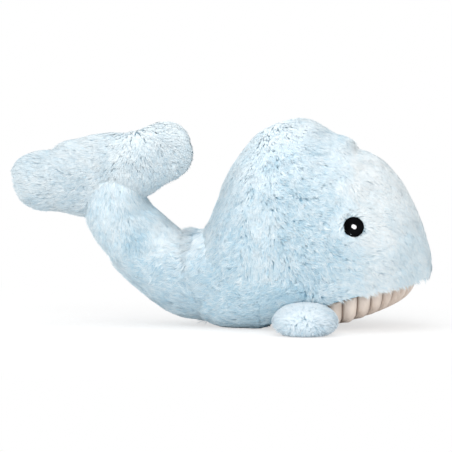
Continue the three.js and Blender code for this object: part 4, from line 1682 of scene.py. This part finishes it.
@dataclass
class Eye:
    """One eye: a flat black patch of woven cloth in a stitched rim, with a white glint of thread."""

    side: Side
    radius: float = 8.25 * MM
    thickness: float = 1.6 * MM
    rim_width: float = 1.5 * MM
    rim_height: float = 0.6 * MM
    stitches: int = 72
    stitch_height: float = 0.16 * MM
    corners: int = 11
    cornered: float = 0.012       # share of the radius by which the outline has corners
    uneven: float = 0.008         # share by which it is out of round
    glint_size: tuple[float, float] = (2.2 * MM, 1.7 * MM)
    glint_fullness: float = 2.6   # of its oval: 2 is an ellipse, more is squarer
    glint_height: float = 0.6 * MM
    glint_turn: float = math.radians(28)
    glint_threads: int = 7
    thread_height: float = 0.1 * MM

    @property
    def place(self) -> np.ndarray:
        """Middle of the patch on the cheek."""
        return MM * np.array([112.882, 54.035 * self.side.value, 86.5])

    @property
    def axes(self) -> np.ndarray:
        """The patch's own axes as rows: forward, up, outward.

        Returns:
            Three unit vectors.
        """
        outward = unit(np.array([0.2948, 0.9387 * self.side.value, 0.1786]))
        forward = unit(np.array([1.0, 0, 0]) - outward * outward[0])
        return np.stack([forward, np.cross(outward, forward) * self.side.value, outward])

    def turned_profile(self, profile: np.ndarray, columns: int,
                       shape: Callable[[np.ndarray, np.ndarray], tuple[np.ndarray, np.ndarray]]) -> Parts:
        """Spins a profile round the middle of the patch.

        Args:
            profile: radius and height of each ring, from the middle outwards and round to the back.
            columns: points in a ring.
            shape: changes radius and height with the turn.

        Returns:
            The spun parts in the frame.
        """
        turn = np.linspace(0, 2 * np.pi, columns + 1)
        radius, height = (np.repeat(profile[:, k, None], columns + 1, 1) for k in (0, 1))
        radius, height = shape(np.stack([radius, height]), np.broadcast_to(turn, radius.shape))
        flat = np.stack([radius * np.cos(turn), radius * np.sin(turn), height], -1)
        points = self.place + flat @ self.axes
        back = np.broadcast_to(self.axes[2], points.shape) * np.sign(height - 0.2 * MM)[..., None]
        return Parts(points.reshape(-1, 3), Net(points, back).faces())

    def build(self) -> None:
        """Makes the patch and the glint."""
        r, t, w, h = self.radius, self.thickness, self.rim_width, self.rim_height
        profile = np.array([
            [0, t - 0.1 * MM], [0.5 * (r - w), t - 0.2 * MM], [r - w - 0.5 * MM, t - 0.35 * MM],
            [r - w, t - 0.25 * MM], [r - 0.8 * w, t + 0.75 * h], [r - 0.5 * w, t + h],
            [r - 0.2 * w, t + 0.7 * h], [r, t - 0.2 * MM], [r, -0.6 * MM], [r - 1 * MM, -1 * MM],
            [0, -1 * MM]])
        def patch_shape(at: np.ndarray, turn: np.ndarray) -> tuple[np.ndarray, np.ndarray]:
            """A slightly cornered outline, and a stitch beside a stitch on the rim.

            Args:
                at: radius and height.
                turn: angle round the patch.

            Returns:
                The new radius and height.
            """
            radius, height = at
            corner = (1 + self.cornered * np.cos(self.corners * turn)
                      + self.uneven * np.cos(3 * turn + 1))
            on_rim = (radius > r - w * 1.01) & (height > t - 0.3 * MM)
            stitch = self.stitch_height * (np.abs(np.sin(self.stitches * turn / 2)) - 0.6)
            return radius * corner, height + np.where(on_rim, stitch, 0)
        patch = self.turned_profile(profile, 8 * self.stitches, patch_shape)
        eye = patch.build(f"{self.side.word}_eye_patch", EYE_CLOTH.material())
        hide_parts(f"{self.side.word}_eye")

        shares = np.array([0, 0.25, 0.5, 0.7, 0.85, 0.95, 1.0, 1.0, 0.0])
        domed = np.array([1, 0.97, 0.87, 0.72, 0.53, 0.31, 0.0, -0.6, -0.6])
        wide, tall = self.glint_size
        def glint_shape(at: np.ndarray, turn: np.ndarray) -> tuple[np.ndarray, np.ndarray]:
            """An oval of threads laid side by side.

            Args:
                at: share of the radius, and of the height.
                turn: angle round the glint.

            Returns:
                The radius and the height.
            """
            share, height = at
            full = self.glint_fullness
            squared = np.abs(np.cos(turn) / wide) ** full + np.abs(np.sin(turn) / tall) ** full
            squared = squared ** (-1 / full)
            across = share * squared * np.sin(turn) / tall
            thread = self.thread_height * np.abs(np.cos(across * self.glint_threads * np.pi / 2))
            base = t - self.thread_height
            return share * squared, base + height * self.glint_height + np.where(height > 0, thread, 0)
        glint_parts = self.turned_profile(np.stack([shares, domed], -1), 96, glint_shape)
        middle, spin = self.place, self.axes
        local = (glint_parts.points - middle) @ spin.T
        c, s = math.cos(self.glint_turn), math.sin(self.glint_turn)
        local[:, :2] = local[:, :2] @ np.array([[c, s], [-s, c]])
        glint_parts.points = middle + local @ spin
        glint = glint_parts.build(f"{self.side.word}_eye_thread", EYE_THREAD.material())
        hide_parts(f"{self.side.word}_eye_glint")
        for piece in (eye, glint):
            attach(piece, BODY)
            log.info("%s: %d faces", piece.name, len(piece.data.polygons))


# The studio

@dataclass
class Studio:
    """Pale floor, soft lamps and the camera of the photograph."""

    azimuth: float = math.radians(6)
    elevation: float = math.radians(4.5)
    distance: float = 4.0
    view_width: float = 372.2 * MM        # at the toy
    aim: tuple[float, float, float] = (0.0, 0.0, 80 * MM)
    aside: float = 3.29 * MM              # of the view's middle from the aim
    above: float = 2.18 * MM
    sensor: float = 36.0
    floor_size: float = 60.0
    world_level: float = 0.62
    shadow: float = 0.35                  # how much of the toy's shadow the floor keeps
    shadow_edge: tuple[float, float] = (0.12, 0.42)      # metres out from where to where it fades

    def build(self) -> None:
        """Sets up the camera, the lamps, the world and the floor."""
        self.camera()
        self.lamp("key_lamp", (0.6, -2.1, 1.3), size=2.0, power=29)
        self.lamp("fill_lamp", (-1.7, -1.5, 1.2), size=1.8, power=13)
        self.lamp("top_lamp", (-0.2, -0.3, 2.3), size=1.8, power=18)
        self.world()
        self.floor()
        bpy.context.scene.view_settings.view_transform = "Standard"

    def camera(self) -> None:
        """Places the camera at the photograph's viewing angle."""
        a, e = self.azimuth, self.elevation
        back = Vector((math.sin(a) * math.cos(e), -math.cos(a) * math.cos(e), math.sin(e)))
        right = Vector((math.cos(a), math.sin(a), 0))
        up = back.cross(right)
        data = bpy.data.cameras.new("camera")
        data.sensor_width = self.sensor
        data.lens = self.sensor * self.distance / self.view_width
        data.clip_start, data.clip_end = 0.1, 100
        camera = bpy.data.objects.new("camera", data)
        camera.location = Vector(self.aim) + right * self.aside + up * self.above + back * self.distance
        camera.rotation_mode = "QUATERNION"
        camera.rotation_quaternion = (-back).to_track_quat("-Z", "Y")
        bpy.context.scene.collection.objects.link(camera)
        bpy.context.scene.camera = camera

    def lamp(self, name: str, place: tuple[float, float, float], size: float, power: float) -> None:
        """Hangs a soft square lamp that faces the toy.

        Args:
            name: the lamp's name.
            place: where it hangs.
            size: its side, in metres.
            power: its power, in watts.
        """
        data = bpy.data.lights.new(name, "AREA")
        data.size, data.energy = size, power
        lamp = bpy.data.objects.new(name, data)
        lamp.location = place
        lamp.rotation_mode = "QUATERNION"
        lamp.rotation_quaternion = (Vector(self.aim) - Vector(place)).to_track_quat("-Z", "Y")
        bpy.context.scene.collection.objects.link(lamp)

    def world(self) -> None:
        """Lights the toy softly from all round, and shows white behind it."""
        world = bpy.data.worlds.new("studio")
        world.use_nodes = True
        graph = Graph(world.node_tree)
        path = graph.add("ShaderNodeLightPath")
        seen = graph.math("MAXIMUM", graph.math("MAXIMUM", path.outputs["Is Camera Ray"],
                                                path.outputs["Is Glossy Ray"]),
                          path.outputs["Is Transmission Ray"])
        strength = graph.add("ShaderNodeMix", {"data_type": "FLOAT"},
                             {0: seen, 2: self.world_level, 3: 1.0})
        light = graph.add("ShaderNodeBackground", inputs={
            "Color": (1.0, 1.0, 1.0, 1.0), "Strength": strength.outputs[0]})
        graph.add("ShaderNodeOutputWorld", inputs={"Surface": light.outputs["Background"]})
        bpy.context.scene.world = world

    def floor(self) -> None:
        """Lays a pale floor that keeps the toy's shadow and turns white away from it."""
        made = bpy.data.materials.new("pale_floor")
        made.use_nodes = True
        graph = Graph(made.node_tree)
        where = graph.add("ShaderNodeTexCoord").outputs["Object"]
        reach = graph.add("ShaderNodeVectorMath", {"operation": "LENGTH"}, {0: where}).outputs["Value"]
        path = graph.add("ShaderNodeLightPath")
        spread = graph.math("MULTIPLY_ADD", graph.ranged(reach, *self.shadow_edge),
                            self.shadow, 1 - self.shadow)
        away = graph.math("MULTIPLY", spread, path.outputs["Is Camera Ray"])
        matte = graph.add("ShaderNodeBsdfDiffuse", inputs={"Color": srgb(250, 250, 250)})
        white = graph.add("ShaderNodeEmission", inputs={"Color": (1.0, 1.0, 1.0, 1.0), "Strength": 1.0})
        shown = graph.add("ShaderNodeMixShader", inputs={
            0: away, 1: matte.outputs["BSDF"], 2: white.outputs["Emission"]})
        graph.add("ShaderNodeOutputMaterial", inputs={"Surface": shown.outputs["Shader"]})
        half = self.floor_size / 2
        corners = np.array([[-half, -half, 0], [half, -half, 0], [half, half, 0], [-half, half, 0]])
        mesh = bpy.data.meshes.new("floor")
        mesh.from_pydata(corners.tolist(), [], [(0, 1, 2, 3)])
        mesh.materials.append(made)
        floor = bpy.data.objects.new("floor", mesh)
        bpy.context.scene.collection.objects.link(floor)


# For each guide its place along the toy and its height in mm, then heading, ruffle and tone; the tone holds
# painted light and shade besides the pile's own mottling: paler on the crown, the forehead and the hollow
# before the tail, darker low down and under the flipper
GUIDES = tuple(Guide(x * MM, z * MM, *lie) for x, z, *lie in (
    # Rear slope of the back, and the crown
    (15, 132, -118, 0.3, 0.68), (12, 104, -125, 0.45, 0.5), (26, 153, -115, 0.15, 0.72),
    (19, 83, -128, 0.75, 0.35), (36, 128, -96, 0.3, 0.72), (38, 91, -90, 0.3, 0.75),
    (35, 58, -96, 0.35, 0.68), (48, 163, -70, 0.1, 0.8), (68, 168, -25, 0.12, 0.85),
    (89, 157, -28, 0.1, 0.75),
    # Middle of the flank
    (52, 137, -50, 0.45, 0.5), (74, 145, -12, 0.45, 0.62), (89, 132, -5, 0.4, 0.6),
    (56, 112, -25, 0.9, 0.3), (74, 99, -20, 0.7, 0.5), (93, 108, -10, 0.6, 0.5),
    (64, 79, -40, 0.9, 0.35), (85, 75, -20, 0.9, 0.38), (52, 53, -75, 0.7, 0.5),
    (77, 53, -45, 0.9, 0.38),
    # Along the forehead seam and over the flipper
    (101, 145, -60, 0.05, 0.9), (103, 120, -80, 0.05, 0.88), (107, 99, -60, 0.1, 0.75),
    (105, 53, -30, 0.7, 0.5), (99, 34, 10, 0.5, 0.55), (64, 31, 200, 0.6, 0.15),
    (46, 34, -160, 0.7, 0.22),
    # Forehead, snout and cheek
    (118, 132, -12, 0.1, 0.9), (134, 116, -10, 0.1, 0.85), (124, 99, 2, 0.12, 0.85),
    (142, 91, -14, 0.15, 0.66), (130, 77, -2, 0.15, 0.85), (151, 71, -28, 0.3, 0.45),
    (126, 53, -28, 0.4, 0.62), (147, 46, -38, 0.4, 0.45), (163, 50, -15, 0.2, 0.45),
    (114, 36, -22, 0.4, 0.7), (134, 29, -50, 0.3, 0.75), (155, 35, -15, 0.2, 0.6),
    # Rump and rear flank
    (15, 53, -140, 0.85, 0.38), (-6, 53, -155, 0.85, 0.35), (11, 29, -170, 0.8, 0.35),
    (-18, 29, 175, 0.8, 0.35), (11, 9, 180, 0.5, 0.4), (35, 6, 180, 0.5, 0.25),
    (-22, 11, 170, 0.5, 0.4), (-35, 71, -150, 0.4, 0.95), (-14, 75, -120, 0.4, 0.78),
    (-51, 83, -115, 0.15, 0.85), (-43, 50, -160, 0.85, 0.4), (-59, 53, -150, 0.9, 0.32),
    (-47, 25, 165, 0.6, 0.45), (-72, 42, 150, 0.35, 0.55), (-68, 77, -40, 0.8, 0.2),
    (-59, 91, -50, 0.2, 0.75),
    # Tail stock
    (-86, 120, -90, 0.4, 0.75), (-97, 107, -112, 0.35, 0.7), (-75, 110, -62, 0.4, 0.68),
    (-102, 85, -150, 0.3, 0.6), (-87, 85, -95, 0.4, 0.72), (-91, 67, -140, 0.35, 0.6),
    (-77, 62, -120, 0.6, 0.5), (-63, 99, -50, 0.25, 0.35),
    # Fluke
    (-96, 149, 172, 0.15, 0.75), (-113, 141, 160, 0.15, 0.78), (-84, 145, -140, 0.15, 0.8),
    (-74, 154, -85, 0.1, 0.9), (-92, 134, -150, 0.3, 0.6), (-154, 132, 175, 0.15, 0.6),
    (-138, 141, 160, 0.15, 0.62), (-158, 116, 180, 0.4, 0.68), (-138, 116, 178, 0.45, 0.7),
    (-125, 104, -170, 0.35, 0.6), (-146, 99, -165, 0.45, 0.52), (-115, 112, -170, 0.5, 0.45),
    (-59, 161, -30, 0.15, 0.9), (-39, 161, 5, 0.15, 0.82), (-59, 145, -62, 0.5, 0.7),
    (-43, 141, -40, 0.45, 0.72), (-30, 145, 0, 0.2, 0.65), (-43, 124, -50, 0.35, 0.55),
    (-61, 127, -80, 0.4, 0.5), (-74, 141, -100, 0.45, 0.55),
))

# For each loft its place along the toy, its height, its reach and how far the pile stands up, in mm
LOFTS = tuple(Loft(*(size * MM for size in row)) for row in (
    (100, 156, 4, 1.8), (-136.7, 148, 4, -2.6), (-126, 152, 5, 1.5), (-80, 162, 12, -3),
    (86, 160, 12, -2.6), (110, 151, 6, -3.2), (8, 130, 14, 2.5), (-106, 84, 12, 2.5),
    (-82, 42, 16, 2.5),
))


def main() -> None:
    """Builds the studio and the toy's parts in order."""
    logging.basicConfig(level=logging.INFO, format="%(name)s: %(message)s")
    combing = Combing(GUIDES, LOFTS)
    Studio().build()
    HeadAndBody().build(combing)
    Belly().build()
    Tail().build(combing)
    Fluke().build(combing)
    for side in Side:
        Flipper(side).build(combing)
        Eye(side).build()


if __name__ == "__main__":
    main()
